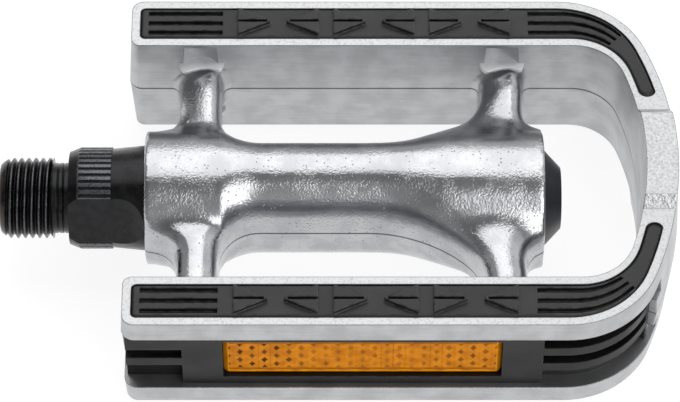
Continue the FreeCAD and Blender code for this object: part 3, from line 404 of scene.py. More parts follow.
@dataclass(frozen=True)
class CastAluminium(Finish):
    """Die-cast aluminium: rails and loop as cast, rims cut flat, barrel and arms tumbled bright.

    The walls look clouded and dull, the rims pale and freckled, and the barrel mirrors the
    soft boxes through fine dents and scuffs.
    """

    name: str = "cast_aluminium"
    rail_hex: tuple[str, str] = ("AFB0B2", "C1C2C4")
    barrel_hex: tuple[str, str] = ("AEAFB2", "BEBFC1")
    pad_hex: tuple[str, str] = ("BABBBD", "D4D5D6")
    rim_hex: str = "BDBEBF"
    pore_hex: str = "9B9C9E"
    grime_hex: str = "4A4B4E"
    # painted shade: a thin dark line along the rails' edges
    burr_hex: str = "58595C"
    grime_share: float = 0.55
    rail_roughness: float = 0.42
    barrel_roughness: tuple[float, float] = (0.19, 0.14)
    rim_roughness: float = 0.38
    rail_start_y: float = 23.0
    rail_start_x: float = 85.6
    rim_height: float = 12.0
    cloud_mm: float = 5.0
    patch_mm: float = 6.0
    fine_mm: float = 0.32
    crust_mm: float = 0.55
    streak_mm: float = 0.8
    dent_mm: float = 2.6
    peen_mm: float = 0.4
    scuff_mm: float = 0.42
    pit_mm: float = 0.62
    edge_mm: float = 0.28
    dent_depth: float = 0.022
    peen_depth: float = 0.03
    scuff_depth: float = 0.07
    pit_depth: float = 0.05
    streak_depth: float = 0.014
    fine_depth: float = 0.018
    crust_depth: float = 0.22
    flash_depth: float = 0.08

    def surface(self, add: AddNode, place: Socket) -> dict[str, Given]:
        """Works out the surface.

        Args:
            add: adds a node to the material.
            place: where on the object the shader is.

        Returns:
            What goes into the shader, by its inputs' names.
        """
        rail, barrel, rim, pad, seam, flash = self.zones(add, place)
        patterns = self.patterns(add, place)
        clouds, thick, patches, fine, crust, streaks, dents, peening, scuffs = patterns
        pit = self.pits(add, place, thick, barrel)
        # the walls are clouded where the metal met, with faint flow marks along them
        flow = add("MULTIPLY_ADD", [streaks, 0.25, add("MULTIPLY", [clouds, 0.75])])
        # the pads keep the mould's pebbled skin, and the cut rims show its pores as freckles
        cast, tumbled, pebbles, cut = (
            add("ShaderNodeMix", [add("ShaderNodeMapRange", [source, *window]), *colours])
            for source, window, colours in (
                (flow, (0.36, 0.64), self.rail_hex),
                (clouds, (0.38, 0.62), self.barrel_hex),
                (crust, (0.3, 0.66), self.pad_hex),
                (fine, (0.34, 0.52, 0.6, 0.0), (self.rim_hex, self.pore_hex)),
            )
        )
        soft, bend = edge_bend(add, self.edge_mm, 8)
        scuffed, edge, torn, dullness = (
            add("ShaderNodeMapRange", [source, *window])
            for source, *window in (
                (patches, 0.4, 0.56),
                (bend, 0.985, 0.86),
                (fine, 0.3, 0.55, 0.2, 0.9),
                (clouds, 0.32, 0.68, *self.barrel_roughness),
            )
        )
        grime = add("MULTIPLY", [pit, self.grime_share])
        # painted shade along the rails' edges, broken up by the fine grain
        burr = add("MULTIPLY", [add("MULTIPLY", [edge, torn]), rail])
        colour = tumbled
        # grime lies in the pits and the parting line, and a thin painted shade darkens the rails'
        # edges
        for share, coat in (
            (rail, cast),
            (rim, cut),
            (pad, pebbles),
            (grime, self.grime_hex),
            (seam, self.grime_hex),
            (burr, self.burr_hex),
        ):
            colour = add("ShaderNodeMix", [share, colour, coat])
        rough = add("MULTIPLY", [barrel, dullness])
        rough = add("MULTIPLY_ADD", [rail, self.rail_roughness, rough])
        rough = add("ShaderNodeMix", [rim, rough, self.rim_roughness], data_type="FLOAT")
        scuffed = add("MULTIPLY", [scuffed, barrel])
        sound = add("SUBTRACT", [1.0, pit])
        walls = add("SUBTRACT", [1.0, add("MAXIMUM", [rim, pad])])
        walls = add("MULTIPLY", [rail, walls])
        normal = soft
        # dents and peening from the tumbling stones, the skin of walls and pads, the thin flash
        for height, depth, share in (
            (dents, self.dent_depth, barrel),
            (peening, self.peen_depth, barrel),
            (scuffs, self.scuff_depth, scuffed),
            (sound, self.pit_depth, 1.0),
            (streaks, self.streak_depth, walls),
            (fine, self.fine_depth, rail),
            (crust, self.crust_depth, pad),
            (flash, self.flash_depth, 1.0),
        ):
            normal = add(
                "ShaderNodeBump",
                {"Strength": share, "Distance": depth * MM, "Height": height, "Normal": normal},
            )
        return {"Metallic": 1.0, "Base Color": colour, "Roughness": rough, "Normal": normal}

    def zones(self, add: AddNode, place: Socket) -> tuple[bpy.types.Node, ...]:
        """Tells the casting's surfaces apart by where they are.

        Args:
            add: adds a node to the material.
            place: where on the object the shader is.

        Returns:
            How far this is the rails or loop, the barrel or arms, a cut rim, a pad, the dark
            parting line, and the flash along it.
        """
        axes = add("ShaderNodeSeparateXYZ", [place]).outputs
        side = add("ABSOLUTE", [axes["Y"]])
        away = add("ABSOLUTE", [axes["Z"]])
        wall, loop, top = self.rail_start_y, self.rail_start_x, self.rim_height
        # the rails begin at the arms' ends, and the loop beyond the dust cap
        beside, beyond, under, over, pad, seam, flash = (
            add("ShaderNodeMapRange", [source, start * MM, end * MM, *levels])
            for source, start, end, *levels in (
                (side, wall - 0.8, wall + 0.8),
                (axes["X"], loop, loop + 1.0),
                (away, top - 0.12, top - 0.03),
                (away, top + 0.05, top + 0.2, 1.0, 0.0),
                (away, top + 0.1, top + 0.3),
                (away, 0.06, 0.22, 0.85, 0.0),
                (away, 0.04, 0.26, 1.0, 0.0),
            )
        )
        rail = add("MAXIMUM", [beside, beyond])
        barrel = add("SUBTRACT", [1.0, rail])
        rim = add("MULTIPLY", [under, over])
        return rail, barrel, rim, pad, seam, flash

    def patterns(self, add: AddNode, place: Socket) -> list[bpy.types.Node]:
        """Draws the random patterns that casting, tumbling and wear leave.

        Args:
            add: adds a node to the material.
            place: where on the object the shader is.

        Returns:
            Clouds, where pits lie thick, scuffed patches, fine grain, the pads' crust, flow
            streaks, dents, peening and scuffs.
        """
        flowing = add("ShaderNodeMapping", {"Vector": place, "Scale": (0.1, 0.1, 1.5)})
        return [
            add(
                "ShaderNodeTexNoise",
                {"Vector": spot, "Scale": per_mm(size), "Detail": detail, "Distortion": swirl},
            )
            for spot, size, detail, swirl in (
                (place, self.cloud_mm, 5.0, 0.0),
                (place, self.patch_mm, 2.0, 0.0),
                (place, self.cloud_mm, 2.0, 0.0),
                (place, self.fine_mm, 2.0, 0.0),
                (place, self.crust_mm, 4.0, 0.0),
                (flowing, self.streak_mm, 4.0, 0.0),
                (place, self.dent_mm, 2.0, 0.0),
                (place, self.peen_mm, 2.0, 0.0),
                (place, self.scuff_mm, 3.0, 0.4),
            )
        ]

    def pits(
        self, add: AddNode, place: Socket, thick: bpy.types.Node, barrel: bpy.types.Node
    ) -> bpy.types.Node:
        """Opens small pores in the barrel, which hold grime.

        Args:
            add: adds a node to the material.
            place: where on the object the shader is.
            thick: the pattern by which they lie thickest where the skin was worn through.
            barrel: how far this is the barrel or an arm.

        Returns:
            1 in a pit, falling to 0 on sound metal.
        """
        cells = add("ShaderNodeTexVoronoi", {"Vector": place, "Scale": per_mm(self.pit_mm)}).outputs
        luck = add("ShaderNodeSeparateColor", [cells["Color"]])
        chosen, hole, worn = (
            add("ShaderNodeMapRange", [source, *window])
            for source, *window in (
                (luck, 0.5, 0.54),
                (cells["Distance"], 0.08, 0.26, 1.0, 0.0),
                (thick, 0.35, 0.6),
            )
        )
        chosen = add("MULTIPLY", [chosen, add("MULTIPLY", [worn, barrel])])
        return add("MULTIPLY", [hole, chosen])


@dataclass(frozen=True)
class PlainMetal(Finish):
    """Machined or plated metal: turning marks round the spindle's axis under a fine grain."""

    body_hex: str
    worn_hex: str
    roughness: tuple[float, float] = (0.2, 0.4)
    cloud_mm: float = 2.4
    turning_mm: float = 0.25
    turning_depth: float = 0.003
    grain_mm: float = 0.16
    grain_depth: float = 0.004
    edge_mm: float = 0.15

    def surface(self, add: AddNode, place: Socket) -> dict[str, Given]:
        """Works out the surface.

        Args:
            add: adds a node to the material.
            place: where on the object the shader is.

        Returns:
            What goes into the shader, by its inputs' names.
        """
        round_axis = add("ShaderNodeMapping", {"Vector": place, "Scale": (1.0, 0.08, 0.08)})
        clouds, turned, grain = (
            add("ShaderNodeTexNoise", {"Vector": spot, "Scale": per_mm(size), "Detail": detail})
            for spot, size, detail in (
                (place, self.cloud_mm, 5.0),
                (round_axis, self.turning_mm, 2.0),
                (place, self.grain_mm, 2.0),
            )
        )
        share = add("ShaderNodeMapRange", [clouds, 0.35, 0.65])
        normal = add("ShaderNodeBevel", {"Radius": self.edge_mm * MM}, samples=6)
        for height, depth in ((turned, self.turning_depth), (grain, self.grain_depth)):
            normal = add(
                "ShaderNodeBump",
                {"Strength": 1.0, "Distance": depth * MM, "Height": height, "Normal": normal},
            )
        return {
            "Metallic": 1.0,
            "Base Color": add("ShaderNodeMix", [share, self.body_hex, self.worn_hex]),
            "Roughness": add("ShaderNodeMapRange", [clouds, 0.3, 0.7, *self.roughness]),
            "Normal": normal,
        }


@dataclass(frozen=True)
class BlackOxideSteel(Finish):
    """Blackened, oiled steel: deep black with a soft shine, pale grey on crests and knurl, partly
    wear and partly painted highlight.
    """

    name: str = "black_oxide_steel"
    body_hex: tuple[str, str] = ("131315", "1F2022")
    # pale grey for crests and knurl ridges: partly wear, partly painted highlight
    rubbed_hex: str = "74757A"
    rust_hex: str = "3A2E26"
    tip_x: float = -12.3
    thread_end_x: float = -2.9
    crest_radius: float = 7.04
    knurl_span: tuple[float, float] = (1.75, 7.55)
    ridge_radius: float = 8.86
    # how much of the pale grey shows on crests and on ridges
    crest_wear: float = 0.5
    ridge_wear: float = 0.7
    cloud_mm: float = 1.6
    turning_mm: float = 0.25
    pickle_mm: float = 0.3
    turning_depth: float = 0.004
    pickle_depth: float = 0.016
    cloud_depth: float = 0.02
    edge_mm: float = 0.15
    roughness: tuple[float, float] = (0.24, 0.4)
    coat: float = 0.36
    coat_roughness: float = 0.22

    def surface(self, add: AddNode, place: Socket) -> dict[str, Given]:
        """Works out the surface.

        Args:
            add: adds a node to the material.
            place: where on the object the shader is.

        Returns:
            What goes into the shader, by its inputs' names.
        """
        along = add("ShaderNodeSeparateXYZ", [place]).outputs["X"]
        round_axis = add("ShaderNodeMapping", {"Vector": place, "Scale": (1.0, 0.08, 0.08)})
        # the pickled pits are drawn coarse enough to show
        clouds, turned, pickled = (
            add("ShaderNodeTexNoise", {"Vector": spot, "Scale": per_mm(size), "Detail": detail})
            for spot, size, detail in (
                (place, self.cloud_mm, 4.0),
                (round_axis, self.turning_mm, 2.0),
                (place, self.pickle_mm, 2.0),
            )
        )
        near_tip, shade, bloom, handled = (
            add("ShaderNodeMapRange", [source, *window])
            for source, *window in (
                (along, (self.tip_x + 0.4) * MM, (self.tip_x + 2.2) * MM, 0.8, 0.0),
                (clouds, 0.38, 0.62),
                (clouds, 0.4, 0.6),
                (pickled, 0.3, 0.55, 0.3, 1.0),
            )
        )
        # a warm bloom of rust on the first turns, and pale grey on crests and knurl ridges, partly
        # wear and partly painted highlight
        rust = add("MULTIPLY", [near_tip, bloom])
        rubbed = add("MULTIPLY", [self.high_spots(add, place), handled])
        colour = add("ShaderNodeMix", [shade, *self.body_hex])
        colour = add("ShaderNodeMix", [rust, colour, self.rust_hex])
        colour = add("ShaderNodeMix", [rubbed, colour, self.rubbed_hex])
        normal = add("ShaderNodeBevel", {"Radius": self.edge_mm * MM}, samples=6)
        for height, depth in (
            (turned, self.turning_depth),
            (pickled, self.pickle_depth),
            (clouds, self.cloud_depth),
        ):
            normal = add(
                "ShaderNodeBump",
                {"Strength": 1.0, "Distance": depth * MM, "Height": height, "Normal": normal},
            )
        return {
            "Metallic": 0.9,
            "Coat Weight": self.coat,
            "Coat Roughness": self.coat_roughness,
            "Base Color": colour,
            "Roughness": add("ShaderNodeMapRange", [clouds, 0.3, 0.7, *self.roughness]),
            "Normal": normal,
            "Coat Normal": normal,
        }

    def high_spots(self, add: AddNode, place: Socket) -> bpy.types.Node:
        """Finds the thread's crests and the knurl's ridges, painted pale: partly the wear from
        hands and nuts, partly painted highlight.

        Args:
            add: adds a node to the material.
            place: where on the object the shader is.

        Returns:
            How much pale grey is painted there, and 0 elsewhere.
        """
        axes = add("ShaderNodeSeparateXYZ", [place]).outputs
        radius = add("SQRT", [add("ADD", [add("MULTIPLY", [axes[i], axes[i]]) for i in "YZ"])])
        end, (first, last) = self.thread_end_x, self.knurl_span
        crest, ridge = self.crest_radius, self.ridge_radius
        on_thread, on_crest, after, before, on_ridge = (
            add("ShaderNodeMapRange", [source, start * MM, stop * MM, *levels])
            for source, start, stop, *levels in (
                (axes["X"], end - 0.2, end, 1.0, 0.0),
                (radius, crest + 0.02, crest + 0.1),
                (axes["X"], first - 0.3, first),
                (axes["X"], last, last + 0.3, 1.0, 0.0),
                (radius, ridge - 0.1, ridge + 0.06),
            )
        )
        crests = add("MULTIPLY", [add("MULTIPLY", [on_thread, on_crest]), self.crest_wear])
        ridges = add("MULTIPLY", [add("MULTIPLY", [after, before]), on_ridge])
        ridges = add("MULTIPLY", [ridges, self.ridge_wear])
        return add("MAXIMUM", [crests, ridges])


@dataclass(frozen=True)
class MouldedPlastic(Finish):
    """Injection-moulded plastic or rubber: matt skin with a fine spark-eroded grain."""

    body_hex: str
    dusty_hex: str
    # paler edges, partly wear and partly painted highlight
    worn_hex: str = "3A3A3B"
    # near black for the painted shade in the grips' grooves
    deep_hex: str = "050505"
    roughness: tuple[float, float] = (0.38, 0.55)
    sheen: float = 0.5
    cloud_mm: float = 6.0
    wear_mm: float = 1.4
    grain_mm: float = 0.3
    grain_depth: float = 0.016
    edge_mm: float = 0.3
    face_y: float = 0.0
    face_end_x: float = 78.0

    def surface(self, add: AddNode, place: Socket) -> dict[str, Given]:
        """Works out the surface.

        Args:
            add: adds a node to the material.
            place: where on the object the shader is.

        Returns:
            What goes into the shader, by its inputs' names.
        """
        clouds, patches, grain = (
            add("ShaderNodeTexNoise", {"Vector": place, "Scale": per_mm(size), "Detail": detail})
            for size, detail in ((self.cloud_mm, 6.0), (self.wear_mm, 3.0), (self.grain_mm, 2.0))
        )
        soft, bend = edge_bend(add, self.edge_mm, 6)
        dust, rough, edge, patch = (
            add("ShaderNodeMapRange", [source, *window])
            for source, *window in (
                (clouds, 0.4, 0.75),
                (clouds, 0.3, 0.7, *self.roughness),
                (bend, 0.985, 0.86),
                (patches, 0.38, 0.56),
            )
        )
        # edges are paler in places, partly wear and partly a painted highlight along them
        worn = add("MULTIPLY", [edge, patch])
        colour = add("ShaderNodeMix", [dust, self.body_hex, self.dusty_hex])
        colour = add("ShaderNodeMix", [worn, colour, self.worn_hex])
        if self.face_y > 0.0:
            # below the outer face the grooves are painted near black, a painted shade, and made
            # rougher
            axes = add("ShaderNodeSeparateXYZ", [place]).outputs
            out = add("ABSOLUTE", [axes["Y"]])
            below, before = (
                add("ShaderNodeMapRange", [source, start * MM, end * MM, 1.0, 0.0])
                for source, start, end in (
                    (out, self.face_y - 0.6, self.face_y - 0.25),
                    (axes["X"], self.face_end_x - 1.0, self.face_end_x + 1.0),
                )
            )
            deep = add("MULTIPLY", [below, before])
            colour = add("ShaderNodeMix", [deep, colour, self.deep_hex])
            rough = add("MULTIPLY_ADD", [deep, 0.4, rough])
        depth = self.grain_depth * MM
        normal = add(
            "ShaderNodeBump", {"Strength": 1.0, "Distance": depth, "Height": grain, "Normal": soft}
        )
        return {
            "Specular IOR Level": self.sheen,
            "Base Color": colour,
            "Roughness": rough,
            "Normal": normal,
        }


@dataclass(frozen=True)
class AmberAcrylic(Finish):
    """Moulded amber acrylic: glossy orange, with dark hearts painted in the prisms as painted shade
    for their dark reflections, in staggered rows.
    """

    body_hex: str = "DA860E"
    deep_hex: str = "C27208"
    # painted shade in the prisms' hearts
    heart_hex: str = "4C2B08"
    roughness: float = 0.16
    ior: float = 1.49
    sheen: float = 0.04
    cloud_mm: float = 2.2
    wave_mm: float = 1.2
    wave_depth: float = 0.012
    ragged_mm: float = 0.5
    edge_mm: float = 0.12
    column_pitch: float = 0.0
    row_pitch: float = 2.5
    start_x: float = 0.0
    heart_mm: tuple[float, float] = (0.56, 0.88)
    near_columns: tuple[float, float] = (-8.0, -2.0)
    far_columns: tuple[float, float] = (6.0, 9.0)
    field_half_height: float = 3.72
    groove_share: float = 0.45

    def surface(self, add: AddNode, place: Socket) -> dict[str, Given]:
        """Works out the surface.

        Args:
            add: adds a node to the material.
            place: where on the object the shader is.

        Returns:
            What goes into the shader, by its inputs' names.
        """
        clouds, waves = (
            add("ShaderNodeTexNoise", {"Vector": place, "Scale": per_mm(size), "Detail": detail})
            for size, detail in ((self.cloud_mm, 3.0), (self.wave_mm, 1.0))
        )
        share = add("ShaderNodeMapRange", [clouds, 0.35, 0.65])
        colour = add("ShaderNodeMix", [share, self.deep_hex, self.body_hex])
        if self.column_pitch > 0.0:
            colour = add("ShaderNodeMix", [self.hearts(add, place), colour, self.heart_hex])
        soft = add("ShaderNodeBevel", {"Radius": self.edge_mm * MM}, samples=4)
        depth = self.wave_depth * MM
        normal = add(
            "ShaderNodeBump", {"Strength": 1.0, "Distance": depth, "Height": waves, "Normal": soft}
        )
        return {
            "Roughness": self.roughness,
            "IOR": self.ior,
            "Specular IOR Level": self.sheen,
            "Base Color": colour,
            "Normal": normal,
        }

    def hearts(self, add: AddNode, place: Socket) -> bpy.types.Node:
        """Marks a small dark diamond of painted shade in the middle of each prism, some stronger
        than others.

        Args:
            add: adds a node to the material.
            place: where on the object the shader is.

        Returns:
            How much of the dark colour shows.
        """
        axes = add("ShaderNodeSeparateXYZ", [place]).outputs
        along = add("SUBTRACT", [axes["X"], self.start_x * MM])
        along = add("DIVIDE", [along, self.column_pitch * MM])
        column = add("FLOOR", [along])
        # every second column stands half a row higher
        lift = add("MULTIPLY", [add("MODULO", [column, 2.0]), 0.5])
        upward = add("ADD", [add("DIVIDE", [axes["Z"], self.row_pitch * MM]), lift])
        row = add("FLOOR", [upward])
        sides, reach = [], []
        for share, pitch, size in (
            (along, self.column_pitch, self.heart_mm[0]),
            (upward, self.row_pitch, self.heart_mm[1]),
        ):
            off = add("SUBTRACT", [add("FRACT", [share]), 0.5])
            sides.append(add("ABSOLUTE", [off]))
            reach.append(add("MULTIPLY", [sides[-1], pitch / size]))
        scale = per_mm(self.ragged_mm)
        ragged = add("ShaderNodeTexNoise", {"Vector": place, "Scale": scale, "Detail": 2.0})
        ragged = add("MULTIPLY_ADD", [ragged, 0.8, -0.4])
        reach = add("ADD", [add("ADD", reach), ragged])
        luck = add("ShaderNodeTexWhiteNoise", [add("ShaderNodeCombineXYZ", [column, row])])
        pick = add("ShaderNodeTexWhiteNoise", [column], noise_dimensions="1D")
        border = add("ABSOLUTE", [add("SUBTRACT", [sides[0], 0.5])])
        height = add("ABSOLUTE", [axes["Z"]])
        edge = self.field_half_height
        # the painted shade of the hearts is deepest towards the crank, faint in the middle and fair
        # at the far end
        diamond, near, far, inside, line, chosen = (
            add("ShaderNodeMapRange", [source, *window])
            for source, *window in (
                (reach, 0.7, 1.2, 1.0, 0.0),
                (along, *self.near_columns, 0.5, 0.0),
                (along, *self.far_columns, 0.0, 0.28),
                (height, (edge - 0.1) * MM, (edge + 0.1) * MM, 1.0, 0.0),
                (border, 0.02, 0.07, 1.0, 0.0),
                (pick, 0.5, 0.9, 0.05, 0.4),
            )
        )
        strength = add("MULTIPLY_ADD", [luck, 0.3, 0.27])
        strength = add("ADD", [strength, add("ADD", [near, far])])
        heart = add("MULTIPLY", [diamond, strength])
        # a faint wall stands between some columns, and a dark groove runs round the field
        wall = add("MULTIPLY", [line, chosen])
        marks = add("MULTIPLY", [add("MAXIMUM", [heart, wall]), inside])
        groove = add("MULTIPLY", [inside, self.groove_share])
        groove = add("SUBTRACT", [self.groove_share, groove])
        return add("MAXIMUM", [marks, groove])


@dataclass(frozen=True)
class StudioPaper(Finish):
    """White background paper, lit until it is almost without shadow."""

    name: str = "white_background_paper"
    body_hex: str = "7F7F7F"
    glow: float = 0.88

    def surface(self, add: AddNode, place: Socket) -> dict[str, Given]:
        """Works out the surface, which is the same all over.

        Args:
            add: adds a node to the material, and isn't needed here.
            place: where on the object the shader is, which isn't needed either.

        Returns:
            What goes into the shader, by its inputs' names.
        """
        return {
            "Base Color": self.body_hex,
            "Roughness": 0.9,
            "Specular IOR Level": 0.0,
            "Emission Color": "FFFFFF",
            "Emission Strength": self.glow,
        }


@dataclass
class CastCage:
    """The aluminium casting: U-shaped rails and loop, the barrel and its four arms."""

    node: bpy.types.Object
    window_half_width: float = 22.3
    window_start_x: float = 12.0
    window_end_x: float = 85.2
    window_overlap: float = 0.5
    clear_height: float = 20.0
    arm_places: tuple[float, float] = (22.85, 76.85)
    patch_half_width: float = 6.6
    patch_half_height: float = 6.7
    patch_reach: float = 26.4
    end_half_width: float = 4.8
    end_half_height: float = 12.6
    end_start_y: float = 20.0
    wall_y: float = 24.86
    wall_top: float = 12.0
    wall_draft: float = 0.05766
    wall_sink: float = 0.07
    past_wall: float = 0.006
    ledge_height: float = 6.86
    ledge_thickness: float = 0.7
    ledge_slope: float = 0.18
    ledge_slope_y: float = 23.0
    ledge_edge: float = 0.14
    ledge_sharp_angle: float = 40.0
    ledge_outline: tuple[tuple[float, float], ...] = (
        (-4.2, 26.2),
        (-4.0, 24.6),
        (-3.7, 23.7),
        (-3.2, 23.0),
        (-2.6, 22.75),
        (-1.5, 23.15),
        (0.0, 23.55),
        (1.3, 23.65),
        (2.4, 23.4),
        (3.2, 23.1),
        (3.7, 23.3),
        (4.1, 24.1),
        (4.25, 24.9),
        (4.3, 26.2),
    )
    niche_half_width: float = 2.85
    niche_depth: float = 1.1
    niche_top: float = 11.3
    niche_gap: float = 0.01
    niche_sides: int = 96
    sharp_angle: float = 32.0
    voxel: float = 0.42
    grid_shares: tuple[float, ...] = (0.5, -0.52, 0.5, -0.52)
    hollow_full: float = 0.1
    spread_gain: float = 1.25
    spread_rounds: int = 5
    fade_rounds: int = 4
    blend_share: float = 0.7
    blend_rounds: int = 34
    lean_slopes: tuple[float, float] = (0.34, 0.325)
    lean_pivot: float = 3.4
    lean_most: float = 1.8
    lean_root: tuple[float, float] = (9.0, 13.0)
    lean_rise: tuple[float, float] = (1.0, 6.0)
    lean_fall: tuple[float, float] = (7.2, 9.6)
    lean_width: tuple[float, float] = (5.0, 10.0)
    flank_start: tuple[float, float] = (53.5, 58.5)
    flank_end: tuple[float, float] = (79.0, 84.0)
    flank_inner: tuple[float, float] = (3.5, 6.0)
    flank_outer: tuple[float, float] = (15.0, 20.0)
    flank_rounds: int = 70
    swell: float = 0.03
    sink_over: float = 1.2
    finish: CastAluminium = CastAluminium()
    # the ledges at the arms' ends are painted pale and set dull, a painted highlight that lifts
    # them out of the wall's shade
    ledge_finish: PlainMetal = PlainMetal(
        "fettled_aluminium", "E2E2E4", "ECECEE", roughness=(0.55, 0.7), edge_mm=0.2
    )

    def rails(self) -> bpy.types.Object:
        """Keeps the rails and the loop, with the space between them emptied.

        Returns:
            The piece.
        """
        piece = merged_copy(self.node, "cage_rails")
        window = block(
            "window_cutter",
            (self.window_start_x, -self.window_half_width, -self.clear_height),
            (self.window_end_x, self.window_half_width, self.clear_height),
        )
        trim(piece, Cut.TAKE_AWAY, [window, self.end_cutter(), self.niche_cutter()])
        self.flatten_walls(piece)
        smooth_shading(piece, self.sharp_angle)
        return piece

    def arm_ends(self) -> list[tuple[float, int, int]]:
        """Lists the places on the rails' inner walls above and below each arm's end.

        Returns:
            The arm's place along X, the side's sign along Y, and 1 above the arm or -1 below it.
        """
        walls = [(place, side.value) for place in self.arm_places for side in Side]
        return [(*wall, level) for wall in walls for level in (1, -1)]

    def end_cutter(self) -> bpy.types.Object:
        """Makes what clears the walls of the arms' ends, which the barrel's piece brings.

        Returns:
            The cutter, which follows the walls' draft and reaches a little past their face.
        """
        top = self.end_half_height
        outline = [(self.end_start_y, -top), (self.end_start_y, top)]
        outline += [(self.wall_face(z) + self.past_wall, z) for z in (top, 0.0, -top)]
        cutter = new_piece("end_cutter")
        with shaping(cutter) as form:
            for place in self.arm_places:
                for side in Side:
                    near, far = (
                        [Vector((place + x, side.value * y, z)) for y, z in outline]
                        for x in (-self.end_half_width, self.end_half_width)
                    )
                    close_between(form, near, far)
            bmesh.ops.recalc_face_normals(form, faces=form.faces)
        return cutter

    def wall_face(self, z: float) -> float:
        """Gives how far out a rail's inner wall stands at a height, with its draft."""
        return self.wall_y - self.wall_draft * (self.wall_top - abs(z))

    def flatten_walls(self, piece: bpy.types.Object) -> None:
        """Brings what the end cutter left a hair too deep back into the wall's own face.

        Args:
            piece: the rails.
        """
        with shaping(piece) as form:
            for corner in form.verts:
                face = self.wall_face(corner.co.z / MM)
                if abs(abs(corner.co.y) / MM - face - self.past_wall) < 0.5 * self.past_wall:
                    corner.co.y = math.copysign(face * MM, corner.co.y)
            bmesh.ops.remove_doubles(form, verts=form.verts, dist=self.past_wall * MM)

    def niche_cutter(self) -> bpy.types.Object:
        """Makes the round posts that hollow the half-round niche over each ledge.

        Returns:
            The cutter.
        """
        radius = (self.niche_half_width**2 + self.niche_depth**2) / (2 * self.niche_depth)
        middle_y = self.wall_y + self.niche_depth - radius
        middle_z = (self.ledge_height + self.niche_top) / 2
        cutter = new_piece("niche_cutter")
        with shaping(cutter) as form:
            for place, side, level in self.arm_ends():
                middle = Vector((place, side * middle_y, level * middle_z))
                bmesh.ops.create_cone(
                    form,
                    cap_ends=True,
                    segments=self.niche_sides,
                    radius1=radius * MM,
                    radius2=radius * MM,
                    depth=(self.niche_top - self.ledge_height - self.niche_gap) * MM,
                    matrix=Matrix.Translation(middle * MM),
                )
        return cutter

    def ledge_rise(self, y: float) -> float:
        """Gives how far a ledge rises above its level, out along Y, to catch the light."""
        return self.ledge_slope * (y - self.ledge_slope_y)

    def ledges(self) -> bpy.types.Object:
        """Lays the crescent ledge where each arm meets the rail's wall, with its edge broken.

        Returns:
            The piece.
        """
        piece = new_piece("arm_end_ledges")
        with shaping(piece) as form:
            for place, side, level in self.arm_ends():
                upper, lower = (
                    [
                        Vector((place + x, side * y, level * (z + self.ledge_rise(y))))
                        for x, y in self.ledge_outline
                    ]
                    for z in (self.ledge_height, self.ledge_height - self.ledge_thickness)
                )
                close_between(form, upper, lower)
            bmesh.ops.recalc_face_normals(form, faces=form.faces)
        edge = piece.modifiers.new("edge", "BEVEL")
        edge.width = self.ledge_edge * MM
        edge.segments = 3
        settle(piece)
        smooth_shading(piece, self.ledge_sharp_angle)
        return piece

    def barrel(self) -> bpy.types.Object:
        """Keeps the barrel and the arms, and lets them run softly into each other and the walls.

        Returns:
            The piece.
        """
        piece = merged_copy(self.node, "barrel_and_arms")
        reach, tall = self.window_half_width + self.window_overlap, self.clear_height
        start, end = self.window_start_x, self.window_end_x
        cutters = [block("middle_cutter", (start, -reach, -tall), (end, reach, tall))]
        wide, reach, tall = self.patch_half_width, self.patch_reach, self.patch_half_height
        for number, place in enumerate(self.arm_places):
            low, high = ((place + s * wide, s * reach, s * tall) for s in (-1, 1))
            cutters.append(block(f"arm_cutter_{number}", low, high))
        trim(piece, Cut.KEEP_INSIDE, cutters)
        grid = piece.modifiers.new("grid", "REMESH")
        grid.mode = "VOXEL"
        grid.voxel_size = self.voxel * MM
        grid.use_smooth_shade = True
        settle(piece)
        self.soften(piece.data)
        for polygon in piece.data.polygons:
            polygon.use_smooth = True
        return piece

    def soften(self, mesh: bpy.types.Mesh) -> None:
        """Fills the inside corners of a fine mesh with blends, and leaves its outer edges alone.

        Args:
            mesh: the mesh, of even small faces, which is changed.
        """
        count = len(mesh.vertices)
        places = np.empty(count * 3)
        mesh.vertices.foreach_get("co", places)
        places = places.reshape(-1, 3)
        facing = np.empty(count * 3)
        mesh.vertex_normals.foreach_get("vector", facing)
        facing = facing.reshape(-1, 3)
        ends = np.empty(len(mesh.edges) * 2, np.int64)
        mesh.edges.foreach_get("vertices", ends)
        first, second = ends.reshape(-1, 2).T
        met = np.bincount(first, minlength=count) + np.bincount(second, minlength=count)

        def around(values: np.ndarray) -> np.ndarray:
            """Averages each point's neighbours."""
            there = np.bincount(first, values[second], count)
            return (there + np.bincount(second, values[first], count)) / np.maximum(met, 1)

        def offset(points: np.ndarray) -> np.ndarray:
            """Gives the way from each point to the middle of its neighbours."""
            return np.stack([around(points[:, axis]) for axis in range(3)], axis=1) - points

        # two rounds of smoothing that keep the volume take the grid's steps away
        for share in self.grid_shares:
            places += share * offset(places)
        hollow = np.einsum("ij,ij->i", offset(places), facing)
        weight = np.clip(hollow / (self.hollow_full * self.voxel * MM), 0.0, 1.0)
        for _ in range(self.spread_rounds):
            weight = np.clip(self.spread_gain * around(weight), 0.0, 1.0)
        for _ in range(self.fade_rounds):
            weight = around(weight)
        for _ in range(self.blend_rounds):
            places += self.blend_share * weight[:, None] * offset(places)
        self.lean(places)
        # the waist's end and the outboard arms' long flanks run into one smooth line
        along, out = places[:, 0] / MM, np.abs(places[:, 1] / MM)
        flank = ease(along, *self.flank_start) * (1.0 - ease(along, *self.flank_end))
        flank *= ease(out, *self.flank_inner) * (1.0 - ease(out, *self.flank_outer))
        for _ in range(self.flank_rounds):
            places += self.blend_share * flank[:, None] * offset(places)
        # the blends run out under the rails' walls instead of lying on them
        out = np.abs(places[:, 1]) / MM
        inward = np.clip((out - self.window_half_width) / self.sink_over, 0.0, 1.0)
        places += (self.swell - inward * (self.wall_sink + self.swell))[:, None] * MM * facing
        mesh.vertices.foreach_set("co", places.ravel())
        mesh.update()

